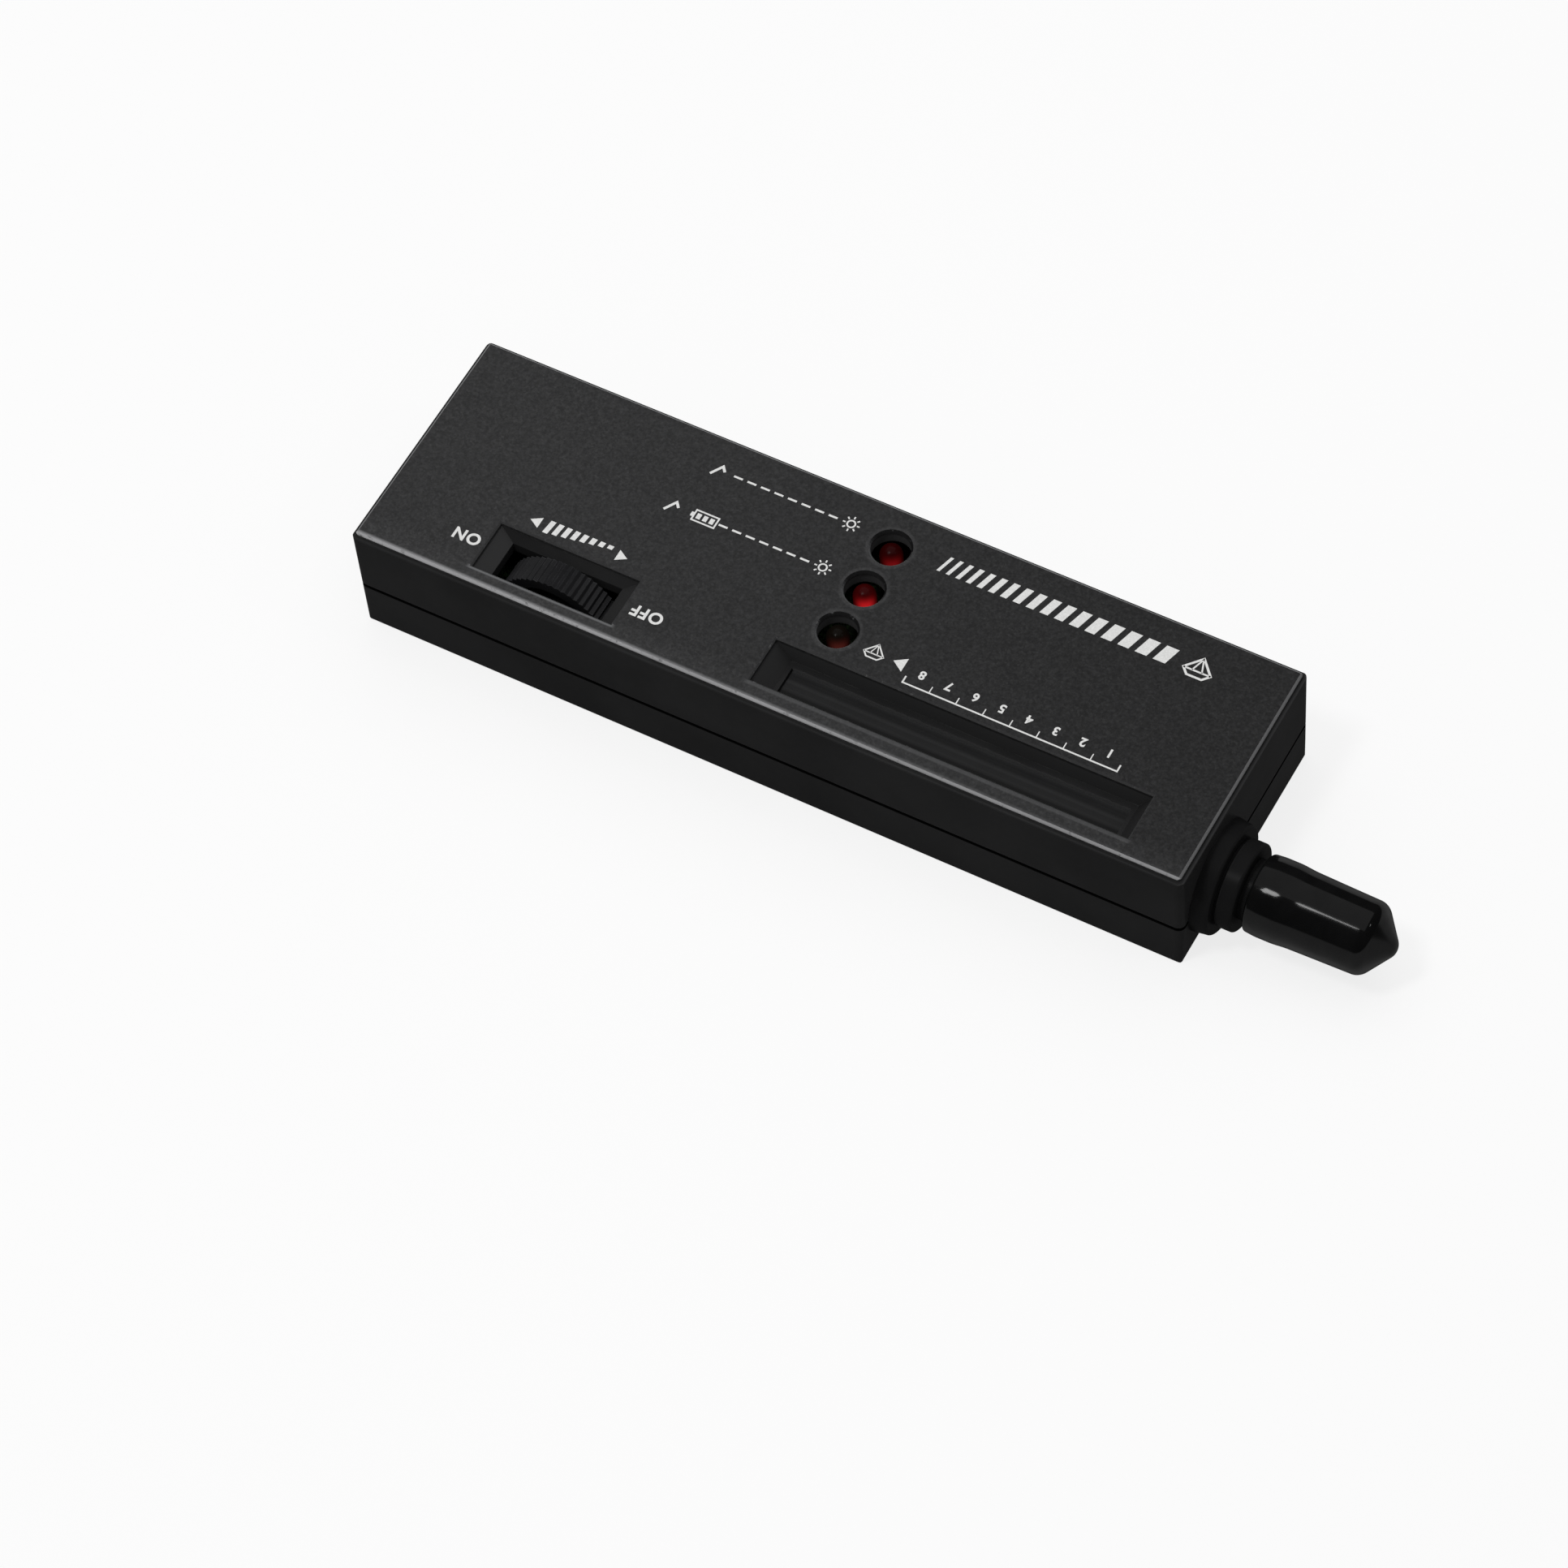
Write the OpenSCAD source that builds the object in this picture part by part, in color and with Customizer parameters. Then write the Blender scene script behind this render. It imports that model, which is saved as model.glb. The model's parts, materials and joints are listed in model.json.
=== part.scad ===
// Hand-held thermal tester for gemstones: flat moulded case with a metal faceplate,
// an edge wheel, a bar display, three lamps and a sprung probe under a soft cap.
// +X runs from the tail to the probe, +Z is up, the origin is under the middle of the whole tester.

/* [Case] */
// Length of the case, from the tail to the probe end
case_l = 138.4; // [137:0.1:142]
// Width of the case
case_w = 41; // [40.8:0.1:43]
// Height of the case with its faceplate
case_h = 21.6; // [21.4:0.1:23]
// Height of the parting line between the two shells
part_z = 9.35; // [9:0.05:10]
// Thickness of the side walls
wall = 1.7; // [1.5:0.1:1.9]
// Thickness of the floor
floor_t = 1.7; // [1.5:0.1:1.9]
// Thickness of the roof below the faceplate
roof_t = 1.8; // [1.5:0.1:2]
// Radius of the upright corners
corner_r = 1.2; // [0.8:0.1:2]
// Radius of the edges round the underside
edge_r = 0.4; // [0.3:0.1:1]
// Lean of the probe end below the parting line, in degrees
end_lean = 1.5; // [0:0.5:4]
// Height of the shadow groove at the parting line
groove_h = 0.7; // [0.3:0.1:0.8]
// Depth of the shadow groove at the parting line
groove_d = 0.6; // [0.2:0.1:0.6]

/* [Faceplate] */
// Thickness of the plate
plate_t = 0.8; // [0.6:0.1:1]
// Distance from the plate's edge to the case side
plate_inset = 0.6; // [0.3:0.05:0.8]
// Width of the bright bevel round the plate
plate_bevel = 0.35; // [0.2:0.05:0.5]
// Width of the bevel round the slots and holes
slot_bevel = 0.3; // [0.1:0.05:0.3]

/* [Thumbwheel] */
// Middle of the wheel slot, from the tail
wheel_from_tail = 31.3; // [30.5:0.1:32]
// Middle of the wheel slot, from the near side
wheel_from_side = 7.55; // [7.4:0.05:7.6]
// Length of the wheel slot
wheel_slot_l = 23.8; // [22:0.1:25]
// Width of the wheel slot
wheel_slot_w = 8.7; // [8.5:0.1:8.8]
// Diameter over the ridges
wheel_d = 18.8; // [17:0.1:19]
// Width of the rim
wheel_w = 4.5; // [4:0.1:4.6]
// Number of ridges round the rim
wheel_ridges = 54; // [36:1:72]
// Height of one ridge
ridge_h = 0.35; // [0.2:0.05:0.5]
// How far the crest stays below the plate's top
wheel_sink = 0.2; // [0.1:0.1:0.6]
// How far the finger ramps at both ends of the slot run in
wheel_ramp = 2.5; // [1.5:0.1:2.8]
// How far the slopes at both sides of the slot run in
wheel_slope = 1.2; // [0.8:0.1:1.3]

/* [Bar display] */
// Middle of the bar slot, from the tail
bar_from_tail = 97.15; // [96.5:0.05:97.5]
// Middle of the bar slot, from the near side
bar_from_side = 7.7; // [7.6:0.05:7.8]
// Length of the bar slot
bar_slot_l = 61.7; // [60:0.1:62]
// Width of the bar slot
bar_slot_w = 8; // [7.6:0.1:8.2]
// Depth of the recess down to its ledge
bar_depth = 4.2; // [3.6:0.1:4.6]
// Width of the ledge beside the window
bar_ledge = 1.1; // [0.8:0.1:1.4]
// How far the recess's sloping ends run in
bar_end_slope = 2.4; // [1.5:0.1:2.8]
// Pitch of the display segments
led_pitch = 4.37; // [4:0.01:4.4]
// First display segment, from the tail
first_led_from_tail = 119.3; // [119:0.1:120]

/* [Lamps] */
// Row of lamps, from the tail
lamps_from_tail = 73.6; // [73:0.1:74.5]
// Lamp nearest the bar slot, from the near side
first_lamp_from_side = 16.95; // [16.5:0.05:17.2]
// Distance between lamps
lamp_pitch = 8.27; // [7.8:0.01:8.5]
// Diameter of a lamp hole
lamp_hole_d = 6.1; // [5.4:0.1:6.4]
// Diameter of a lamp's lens
lamp_d = 3.6; // [3:0.1:4.4]

/* [Probe] */
// Axis of the probe, from the near side
probe_from_side = 10.8; // [10.6:0.1:11.2]
// How far the capped probe stands out of the case
probe_reach = 28.8; // [28:0.1:30]
// Length of the stepped collar outside the case
collar_l = 5.7; // [5.5:0.1:6.2]
// Diameter of the collar at the case
collar_d = 17.8; // [16.6:0.1:18]
// Diameter at the front of the collar's first ring
collar_ring_d = 17.2; // [16:0.1:17.6]
// Diameter of the collar's second ring
collar_tip_d = 13.8; // [13.4:0.1:14.2]
// Length of the collar's first ring, up to its groove
collar_ring_l = 2.7; // [2.4:0.1:3]
// Diameter of the cap at its mouth
cap_d = 12.3; // [12:0.1:12.6]
// Diameter of the cap past the collar's spigot
cap_waist_d = 12; // [11.7:0.1:12.2]
// Diameter of the cap near its closed end
cap_tip_d = 11.4; // [11:0.1:11.6]
// Wall of the cap
cap_wall = 1.35; // [1.2:0.05:1.4]
// Length of the cap's tapering closed end
cap_nose_l = 4.6; // [4.2:0.1:5]
// Radius where that taper begins
cap_round = 1.4; // [1.4:0.05:1.7]
// Radius of the cap's point
cap_point_r = 1.9; // [1.5:0.1:2.2]
// Diameter of the metal sleeve
sleeve_d = 6; // [5.6:0.1:6.2]
// How far the measuring tip yields
tip_travel = 1.2; // [0.6:0.1:1.4]
// Curls of the spring behind the tip
spring_turns = 9; // [6:1:10]

/* [Battery] */
// Length of the block battery without its studs
battery_l = 46.4; // [46:0.1:46.8]
// Width of the battery
battery_w = 26; // [25.6:0.1:26.2]
// Thickness of the battery
battery_t = 16.6; // [16:0.1:16.8]
// Gap round the sliding door
door_gap = 0.15; // [0.1:0.05:0.2]
// Number of finger grooves in the door
door_grooves = 6; // [4:1:8]

/* [Circuit board] */
// Height of the board's underside
board_z = 8; // [7.8:0.1:8.2]
// Thickness of the board
board_t = 1.6; // [1.2:0.1:1.6]

/* [Hidden] */
$fn = 72;

// Reach of a cutter past the face it cuts, radial clearance of a turning or sliding fit, clearance of a seat
over = 1;
run_gap = 0.05;
seat_gap = 0.02;

// Case
tail_x = -(case_l + probe_reach) / 2;
end_x = tail_x + case_l;
half_w = case_w / 2;
shell_top = case_h - plate_t;
roof_z = shell_top - roof_t;
in_tail = tail_x + wall;
in_end = end_x - wall;
in_side = half_w - wall;
rim_r = 0.35;
lip_h = 1.5;
well_wall = 0.9;
hole_ease = 0.2;

// Thumbwheel and its control
wheel_x = tail_x + wheel_from_tail;
wheel_y = -half_w + wheel_from_side;
wheel_z = case_h - wheel_sink - wheel_d / 2;
wheel_throat_z = case_h - 2.3;
wheel_well_z = case_h - 4.1;
wheel_throat = [wheel_slot_l / 2 - wheel_ramp, wheel_slot_w / 2 - wheel_slope];
axle_r = 1.5;
hub_r = 3.2;
hub_sink = 1.4;
hub_pocket_r = 2.5;
wheel_screw_r = 0.7;
wheel_screw_l = 2;

// Bar display
bar_x = tail_x + bar_from_tail;
bar_y = -half_w + bar_from_side;
ledge_z = case_h - bar_depth;
ledge_t = 1;
end_ledge = 0.6;
bar_open = [bar_slot_l / 2 - bar_end_slope - end_ledge, bar_slot_w / 2 - bar_ledge];
window_t = 1.45;
window_rise = 0.5;
window_lap = 0.3;
window_z = ledge_z - ledge_t - window_t - run_gap;
led_size = [2, 5];

// Lamps
lamps_x = tail_x + lamps_from_tail;
lamp_base_z = 13;
leg_w = 0.5;
leg_pitch = 1.27;

// Probe
probe_y = -half_w + probe_from_side;
probe_z = part_z;
cap_gap = 1.2;
cap_x = end_x + collar_l + cap_gap;
cap_end = end_x + probe_reach;
neck_r = 6;
spigot_r = cap_d / 2 - cap_wall - run_gap;
spigot_end = cap_x + 3.6;
flange_r = 7.6;
flange_t = 1.6;
sleeve_r = sleeve_d / 2;
sleeve_back = end_x - 11.4;
sleeve_front = end_x + 22.2;
bore_r = 2.2;
bore_front = end_x + 15.8;
plug_front = sleeve_back + 6;
plug_flange = 1.5;
holder_back = end_x + 7.6;
holder_front = bore_front - run_gap;
pocket_l = 2.4;
tip_end = sleeve_front + tip_travel + 0.6;
needle_r = 0.7;
lead_gap = 1;
lead_r = 0.45;
lead_sides = 8;

// Spring behind the tip
wire_r = 0.22;
coil_r = 1.55;
coil_steps = 8;
coil_sides = 6;
coil_x0 = plug_front + wire_r + run_gap;
coil_pitch = (holder_back - plug_front - 2 * wire_r - 2 * run_gap) / spring_turns;
coil_points = [
    for (i = [0:spring_turns * coil_steps]) let (a = 360 * i / coil_steps)
        [coil_x0 + coil_pitch * i / coil_steps, probe_y + coil_r * cos(a), probe_z + coil_r * sin(a)]
];
coil_gap = min([
    for (i = [0:len(coil_points) - 1], j = [i + coil_steps / 2:1:len(coil_points) - 1])
        norm(coil_points[i] - coil_points[j])
]) - 2 * wire_r;
echo(least_gap_between_curls = coil_gap);

// Circuit board
board_top = board_z + board_t;
board_back = -25;
board_front = 52;
board_edge = in_side - 0.3;
arm_back = -70;
arm_side = -8.2;
board_hole_r = 1.6;
pin_pitch = 2.54;

// Battery and its bay
battery_x = in_tail + 0.4;
battery_y = in_side - 0.3 - battery_w;
battery_z = floor_t + 0.3;
stud_pitch = 12.7;
stud_l = 2.4;
stud_r = 2.85;
socket_r = 4;
studs_y = [for (side = [-1, 1]) battery_y + battery_w / 2 + side * stud_pitch / 2];
studs_z = battery_z + battery_t / 2;
snap_x = battery_x + battery_l + 0.5;
snap_t = 3.6;
battery_lead_r = 0.65;
bay_y0 = battery_y - 0.3;
bay_y1 = in_side - 0.1;
bay_end = battery_x + battery_l + 4.4;
bay_wall = 1.1;
door_t = floor_t - 0.1;
door_end_h = 6.5;
rail_d = 0.6;
rail_z = 0.8;

// Screws and their posts
post_r = 3.2;
post_top_r = 2.8;
screw_r = 1.25;
screw_head_r = 2.4;
screw_head_t = 1.8;
screw_sink = 3.2;
screw_l = 12;
post_inset = 4.3;
end_post_x = end_x - 6.6;
posts_free = [[tail_x + 7, -half_w + 6], [end_post_x, -half_w + post_inset]];
posts_board = [[board_back + 1.5, half_w - post_inset], [end_post_x, half_w - post_inset]];
posts = concat(posts_free, posts_board);

black_case = "#17181a";
black_plate = "#2b2c2e";
black_soft = "#101112";
black_chip = "#1c1c1e";
chrome = "#c9ccd0";
copper = "#b8683c";
cream = "#e8e2d0";

function lamp_y(i) = -half_w + first_lamp_from_side + i * lamp_pitch;
function led_x(i) = tail_x + first_led_from_tail - i * led_pitch;

// Rounded rectangle between two corners
module rounded_rect(x0, y0, x1, y1, r) {
    translate([x0 + r, y0]) square([x1 - x0 - 2 * r, y1 - y0]);
    translate([x0, y0 + r]) square([x1 - x0, y1 - y0 - 2 * r]);
    for (x = [x0 + r, x1 - r], y = [y0 + r, y1 - r]) translate([x, y]) circle(r);
}

// Upright plan of the case, drawn in by a distance
module case_plan(inset = 0) {
    rounded_rect(tail_x + inset, -half_w + inset, end_x - inset, half_w - inset, max(corner_r - inset, 0.4));
}

// Box between two corners
module box(low, high) {
    translate(low) cube(high - low);
}

// Extrudes an outline drawn in X and Z across the whole width
module across(w) {
    rotate([90, 0, 0]) linear_extrude(w, center = true) children();
}

// Extrudes an outline drawn in Y and Z along the whole length
module along(x0, x1) {
    translate([x0, 0, 0]) rotate([90, 0, 90]) linear_extrude(x1 - x0) children();
}

// Revolves an outline of radius and distance about the probe's axis
module about_probe() {
    translate([0, probe_y, probe_z]) rotate([0, 90, 0]) rotate_extrude() children();
}

// Wheel's own axes: Z runs from its far face towards the near side
module at_wheel() {
    translate([wheel_x, wheel_y + wheel_w / 2, wheel_z]) rotate([90, 0, 0]) children();
}

// Block whose upper edges are bevelled, or flared out where the bevel is negative
module bevelled(low, high, bevel) {
    intersection() {
        across(4 * case_w) bevel_outline(low.x, high.x, low.z, high.z, bevel);
        along(2 * tail_x, -2 * tail_x) bevel_outline(low.y, high.y, low.z, high.z, bevel);
    }
}

module bevel_outline(a0, a1, z0, z1, bevel) {
    drop = abs(bevel);
    polygon([[a0, z0], [a1, z0], [a1, z1 - drop], [a1 - bevel, z1], [a0 + bevel, z1], [a0, z1 - drop]]);
}

// Opening that narrows downwards, by one distance at its ends and another at its sides
module funnel(low, high, draw) {
    intersection() {
        across(4 * case_w) funnel_outline(low.x, high.x, low.z, high.z, draw.x);
        along(2 * tail_x, -2 * tail_x) funnel_outline(low.y, high.y, low.z, high.z, draw.y);
    }
}

module funnel_outline(a0, a1, z0, z1, draw) {
    polygon([[a0 + draw, z0], [a1 - draw, z0], [a1, z1], [a1, z1 + over], [a0, z1 + over], [a0, z1]]);
}

// Section along the case: round lower edges, a leaning probe end and soft upper edges
module long_section() {
    foot_x = end_x - (edge_r + sin(end_lean) * (part_z - edge_r)) / cos(end_lean);
    foot = [foot_x + edge_r * cos(end_lean), edge_r - edge_r * sin(end_lean)];
    top_r = shell_top - rim_r;
    polygon([
        [tail_x + edge_r, 0], [foot_x, 0], foot, [end_x, part_z], [end_x, top_r],
        [end_x - rim_r, shell_top], [tail_x + rim_r, shell_top], [tail_x, top_r], [tail_x, edge_r]
    ]);
    translate([tail_x + edge_r, edge_r]) circle(edge_r);
    translate([foot_x, edge_r]) circle(edge_r);
    for (x = [tail_x + rim_r, end_x - rim_r]) translate([x, top_r]) circle(rim_r);
}

// Section across the case
module cross_section() {
    translate([-half_w + edge_r, 0]) square([case_w - 2 * edge_r, shell_top]);
    translate([-half_w, edge_r]) square([case_w, shell_top - edge_r - rim_r]);
    translate([-half_w + rim_r, edge_r]) square([case_w - 2 * rim_r, shell_top - edge_r]);
    for (side = [-1, 1]) {
        translate([side * (half_w - edge_r), edge_r]) circle(edge_r);
        translate([side * (half_w - rim_r), shell_top - rim_r]) circle(rim_r);
    }
}

// Outside of the closed case below the faceplate
module case_block() {
    intersection() {
        linear_extrude(shell_top) case_plan();
        across(2 * case_w) long_section();
        along(tail_x - over, end_x + over) cross_section();
    }
}

// Lamp holes, wheel well and display well, cut down from above
module lamp_holes(z0, z1, d) {
    for (i = [0:2]) translate([lamps_x, lamp_y(i), z0]) cylinder(h = z1 - z0, d = d);
}

module wheel_well() {
    funnel([wheel_x - wheel_slot_l / 2, wheel_y - wheel_slot_w / 2, wheel_throat_z],
        [wheel_x + wheel_slot_l / 2, wheel_y + wheel_slot_w / 2, shell_top], [wheel_ramp, wheel_slope]);
    box([wheel_x - wheel_throat.x, wheel_y - wheel_throat.y, part_z],
        [wheel_x + wheel_throat.x, wheel_y + wheel_throat.y, shell_top]);
}

module bar_well() {
    funnel([bar_x - bar_slot_l / 2, bar_y - bar_slot_w / 2, ledge_z],
        [bar_x + bar_slot_l / 2, bar_y + bar_slot_w / 2, shell_top], [bar_end_slope, 0]);
    bar_opening(part_z, shell_top, 0);
}

// Block that fits the opening below the display's ledge, grown all round
module bar_opening(z0, z1, grow) {
    box([bar_x - bar_open.x - grow, bar_y - bar_open.y - grow, z0],
        [bar_x + bar_open.x + grow, bar_y + bar_open.y + grow, z1]);
}

// Half-round seat that both shells clamp the collar's neck with
module collar_seat() {
    translate([in_end - flange_t - over, probe_y, probe_z]) rotate([0, 90, 0])
        cylinder(h = wall + flange_t + 2 * over, r = neck_r + run_gap);
}

// Upper half of the case: roof, sides, wells below the slots and posts for the screws
module top_shell() {
    color(black_case)
    difference() {
        union() {
            difference() {
                case_block();
                translate([0, 0, -over]) linear_extrude(roof_z + over) case_plan(wall);
            }
            box([wheel_x - wheel_throat.x - well_wall, -in_side, wheel_well_z],
                [wheel_x + wheel_throat.x + well_wall, wheel_y + wheel_throat.y + well_wall, roof_z]);
            box([bar_x - bar_slot_l / 2 - well_wall, -in_side, ledge_z - ledge_t],
                [bar_x + bar_slot_l / 2 + well_wall, bar_y + bar_slot_w / 2 + well_wall, roof_z]);
            for (p = posts_free) translate([p.x, p.y, part_z])
                cylinder(h = roof_z - part_z, r = post_top_r);
            for (p = posts_board) translate([p.x, p.y, board_top])
                cylinder(h = roof_z - board_top, r = post_top_r);
        }
        translate([0, 0, -over]) linear_extrude(part_z + over) case_plan(-over);
        // rebate that takes the lower shell's lip
        translate([0, 0, part_z - over]) linear_extrude(lip_h + run_gap + over) case_plan(wall / 2);
        wheel_well();
        bar_well();
        lamp_holes(part_z, case_h, lamp_hole_d + hole_ease);
        for (p = posts) translate([p.x, p.y, part_z - over])
            cylinder(h = screw_l - part_z + screw_sink + 2 * over, r = screw_r + run_gap);
        collar_seat();
    }
}

module faceplate() {
    color(black_plate)
    difference() {
        intersection() {
            translate([0, 0, shell_top]) linear_extrude(plate_t) case_plan(plate_inset);
            bevelled([tail_x + plate_inset, -half_w + plate_inset, shell_top - over],
                [end_x - plate_inset, half_w - plate_inset, case_h], plate_bevel);
        }
        bevelled([wheel_x - wheel_slot_l / 2, wheel_y - wheel_slot_w / 2, shell_top - over],
            [wheel_x + wheel_slot_l / 2, wheel_y + wheel_slot_w / 2, case_h + run_gap], -slot_bevel);
        bevelled([bar_x - bar_slot_l / 2, bar_y - bar_slot_w / 2, shell_top - over],
            [bar_x + bar_slot_l / 2, bar_y + bar_slot_w / 2, case_h + run_gap], -slot_bevel);
        lamp_holes(shell_top - over, case_h + over, lamp_hole_d);
        for (i = [0:2]) translate([lamps_x, lamp_y(i), case_h - slot_bevel])
            cylinder(h = 2 * slot_bevel, d1 = lamp_hole_d, d2 = lamp_hole_d + 4 * slot_bevel);
    }
}

// Lower half of the case: floor, sides with a lip, posts, battery partition and door bay
module bottom_shell() {
    partition_y = bay_y0 - bay_wall;
    color(black_case)
    difference() {
        union() {
            intersection() {
                case_block();
                box([tail_x - over, -case_w, -over], [end_x + over, case_w, part_z]);
            }
            translate([0, 0, part_z - over]) linear_extrude(lip_h + over) case_plan(wall / 2 + run_gap);
        }
        difference() {
            translate([0, 0, floor_t]) linear_extrude(case_h) case_plan(wall);
            for (p = posts_free) translate([p.x, p.y, 0]) cylinder(h = part_z - run_gap, r = post_r);
            for (p = posts_board) translate([p.x, p.y, 0]) cylinder(h = board_z, r = post_r);
            // partition beside the battery, which also carries the arm of the board
            box([in_tail - over, partition_y, 0], [bay_end + bay_wall, bay_y0, board_z]);
            box([bay_end, partition_y, 0], [bay_end + bay_wall, in_side + over, door_end_h]);
        }
        // shadow groove round the upper edge
        translate([0, 0, part_z - groove_h]) linear_extrude(groove_h) difference() {
            case_plan(-over);
            case_plan(groove_d);
        }
        for (p = posts) translate([p.x, p.y, -over]) {
            cylinder(h = part_z + 2 * over, r = screw_r + run_gap);
            cylinder(h = screw_sink + over, r = screw_head_r + hole_ease);
        }
        // bay for the door, with a rail groove on both sides
        box([tail_x - over, bay_y0, -over], [bay_end, bay_y1, floor_t + run_gap]);
        box([tail_x - over, bay_y0, -over], [in_tail + run_gap, bay_y1, door_end_h]);
        box([tail_x - over, bay_y0 - rail_d, rail_z], [bay_end, bay_y1 + rail_d, floor_t + run_gap]);
        collar_seat();
    }
}

// Sliding door below the battery, with a turned-up end and finger grooves
module battery_door() {
    y0 = bay_y0 + door_gap;
    y1 = bay_y1 - door_gap;
    front = bay_end - door_gap;
    groove = [0.9, 14, 0.8];
    groove_pitch = 1.8;
    first_groove = 6;
    color(black_case)
    difference() {
        intersection() {
            case_block();
            union() {
                box([tail_x - over, y0, -over], [front, y1, door_t]);
                box([tail_x - over, y0, -over], [in_tail, y1, door_end_h - door_gap]);
                box([tail_x - over, y0 - rail_d, rail_z + door_gap], [front, y1 + rail_d, door_t]);
            }
        }
        for (i = [0:door_grooves - 1]) translate([front - first_groove - groove_pitch * i, (y0 + y1) / 2, 0])
            cube(groove, center = true);
    }
}

// Pan-head screws, sunk in the floor, with a cross recess
module case_screws() {
    recess = [2.8, 0.6, 1.6];
    color(chrome)
    for (p = posts) translate([p.x, p.y, 0]) difference() {
        union() {
            translate([0, 0, screw_sink - screw_head_t]) cylinder(h = screw_head_t, r = screw_head_r);
            translate([0, 0, screw_sink - over]) cylinder(h = screw_l + over, r = screw_r);
        }
        for (turn = [0, 90]) rotate(turn) translate([0, 0, screw_sink - screw_head_t])
            cube(recess, center = true);
    }
}

// Ridged edge wheel with a dished hub on both faces
module thumbwheel() {
    crest_r = wheel_d / 2;
    valley_r = crest_r - ridge_h;
    step = 180 / wheel_ridges;
    dish_r = crest_r - 2;
    far_dish = 0.8;
    hub_step = 0.4;
    color(black_case)
    at_wheel() difference() {
        linear_extrude(wheel_w) polygon([
            for (i = [0:2 * wheel_ridges - 1])
                (i % 2 == 0 ? crest_r : valley_r) * [cos(i * step), sin(i * step)]
        ]);
        translate([0, 0, wheel_w - hub_sink]) difference() {
            cylinder(h = hub_sink + over, r = dish_r);
            translate([0, 0, -over]) cylinder(h = hub_sink + over - hub_step, r = hub_r);
        }
        translate([0, 0, -over]) difference() {
            cylinder(h = over + far_dish, r = dish_r);
            cylinder(h = 2 * over, r = hub_r);
        }
        translate([0, 0, -over]) cylinder(h = wheel_w + 2 * over, r = axle_r + run_gap);
        translate([0, 0, wheel_w - hub_sink]) cylinder(h = wheel_w, r = hub_pocket_r);
    }
}

// Screw that keeps the wheel on the control's axle
module wheel_screw() {
    seat = wheel_w - hub_sink + seat_gap;
    head_t = 1.1;
    head_gap = 0.3;
    slot = [2 * hub_r, 0.6, 1];
    color(chrome)
    at_wheel() difference() {
        union() {
            translate([0, 0, seat]) cylinder(h = head_t, r = hub_pocket_r - head_gap);
            translate([0, 0, seat - wheel_screw_l])
                cylinder(h = wheel_screw_l + head_t / 2, r = wheel_screw_r);
        }
        translate([0, 0, seat + head_t]) cube(slot, center = true);
    }
}

// Flat rotary control that stands on the board and carries the wheel on its axle
module control_pot() {
    body_r = 5;
    body_t = 1.6;
    body_gap = 0.4;
    color("#6b4a2a")
    at_wheel() difference() {
        union() {
            translate([0, 0, -body_gap - body_t]) intersection() {
                union() {
                    cylinder(h = body_t, r = body_r);
                    translate([-body_r, -body_r, 0]) cube([2 * body_r, body_r, body_t]);
                }
                translate([-2 * body_r, board_top - wheel_z, 0]) cube([4 * body_r, 4 * body_r, body_t]);
            }
            translate([0, 0, -over]) cylinder(h = wheel_w - hub_sink + over, r = axle_r);
        }
        translate([0, 0, wheel_w - hub_sink - wheel_screw_l - 2 * run_gap])
            cylinder(h = wheel_w, r = wheel_screw_r + run_gap);
    }
}

// Tinted strip with a raised face that stands in the ledge's opening
module bar_window() {
    color("#1d0f10")
    union() {
        bar_opening(window_z, window_z + window_t, bar_ledge + window_lap);
        bar_opening(window_z, window_z + window_t + window_rise, -2 * run_gap);
    }
}

// Flat display segments that stand on the board below the window
module bar_leds(first, last) {
    for (i = [first:last]) translate([led_x(i) - led_size.x / 2, bar_y - led_size.y / 2, board_top])
        cube([led_size.x, led_size.y, window_z - window_lap - board_top]);
}

module bar_leds_green() {
    color("#3f9a4b") bar_leds(0, 3);
}

module bar_leds_amber() {
    color("#d8a32e") bar_leds(4, 7);
}

module bar_leds_red() {
    color("#b3282c") bar_leds(8, 11);
}

// Round lamp on two legs, its dome level with the plate
module lamp(i) {
    lens_r = lamp_d / 2;
    flange = [lens_r + 0.4, 0.8];
    translate([lamps_x, lamp_y(i), 0]) {
        translate([0, 0, case_h - lens_r]) sphere(lens_r);
        translate([0, 0, lamp_base_z]) cylinder(h = case_h - lens_r - lamp_base_z, r = lens_r);
        translate([0, 0, lamp_base_z]) cylinder(h = flange.y, r = flange.x);
        for (side = [-1, 1]) translate([side * leg_pitch - leg_w / 2, -leg_w / 2, board_top])
            cube([leg_w, leg_w, lamp_base_z - board_top + leg_w]);
    }
}

module lamp_ready() {
    color("#9c1418") lamp(2);
}

module lamp_battery() {
    color("#c41c20") lamp(1);
}

module lamp_diamond() {
    color("#4a3a2c") lamp(0);
}

// Ring of the collar between two distances, with a rounded front edge
module collar_ring(x0, x1, back_r, front_r) {
    edge = 0.5;
    polygon([
        [0, x0], [back_r, x0], [front_r, x1 - edge], [front_r - edge, x1], [0, x1]
    ]);
    translate([front_r - edge, x1 - edge]) circle(edge);
}

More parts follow.
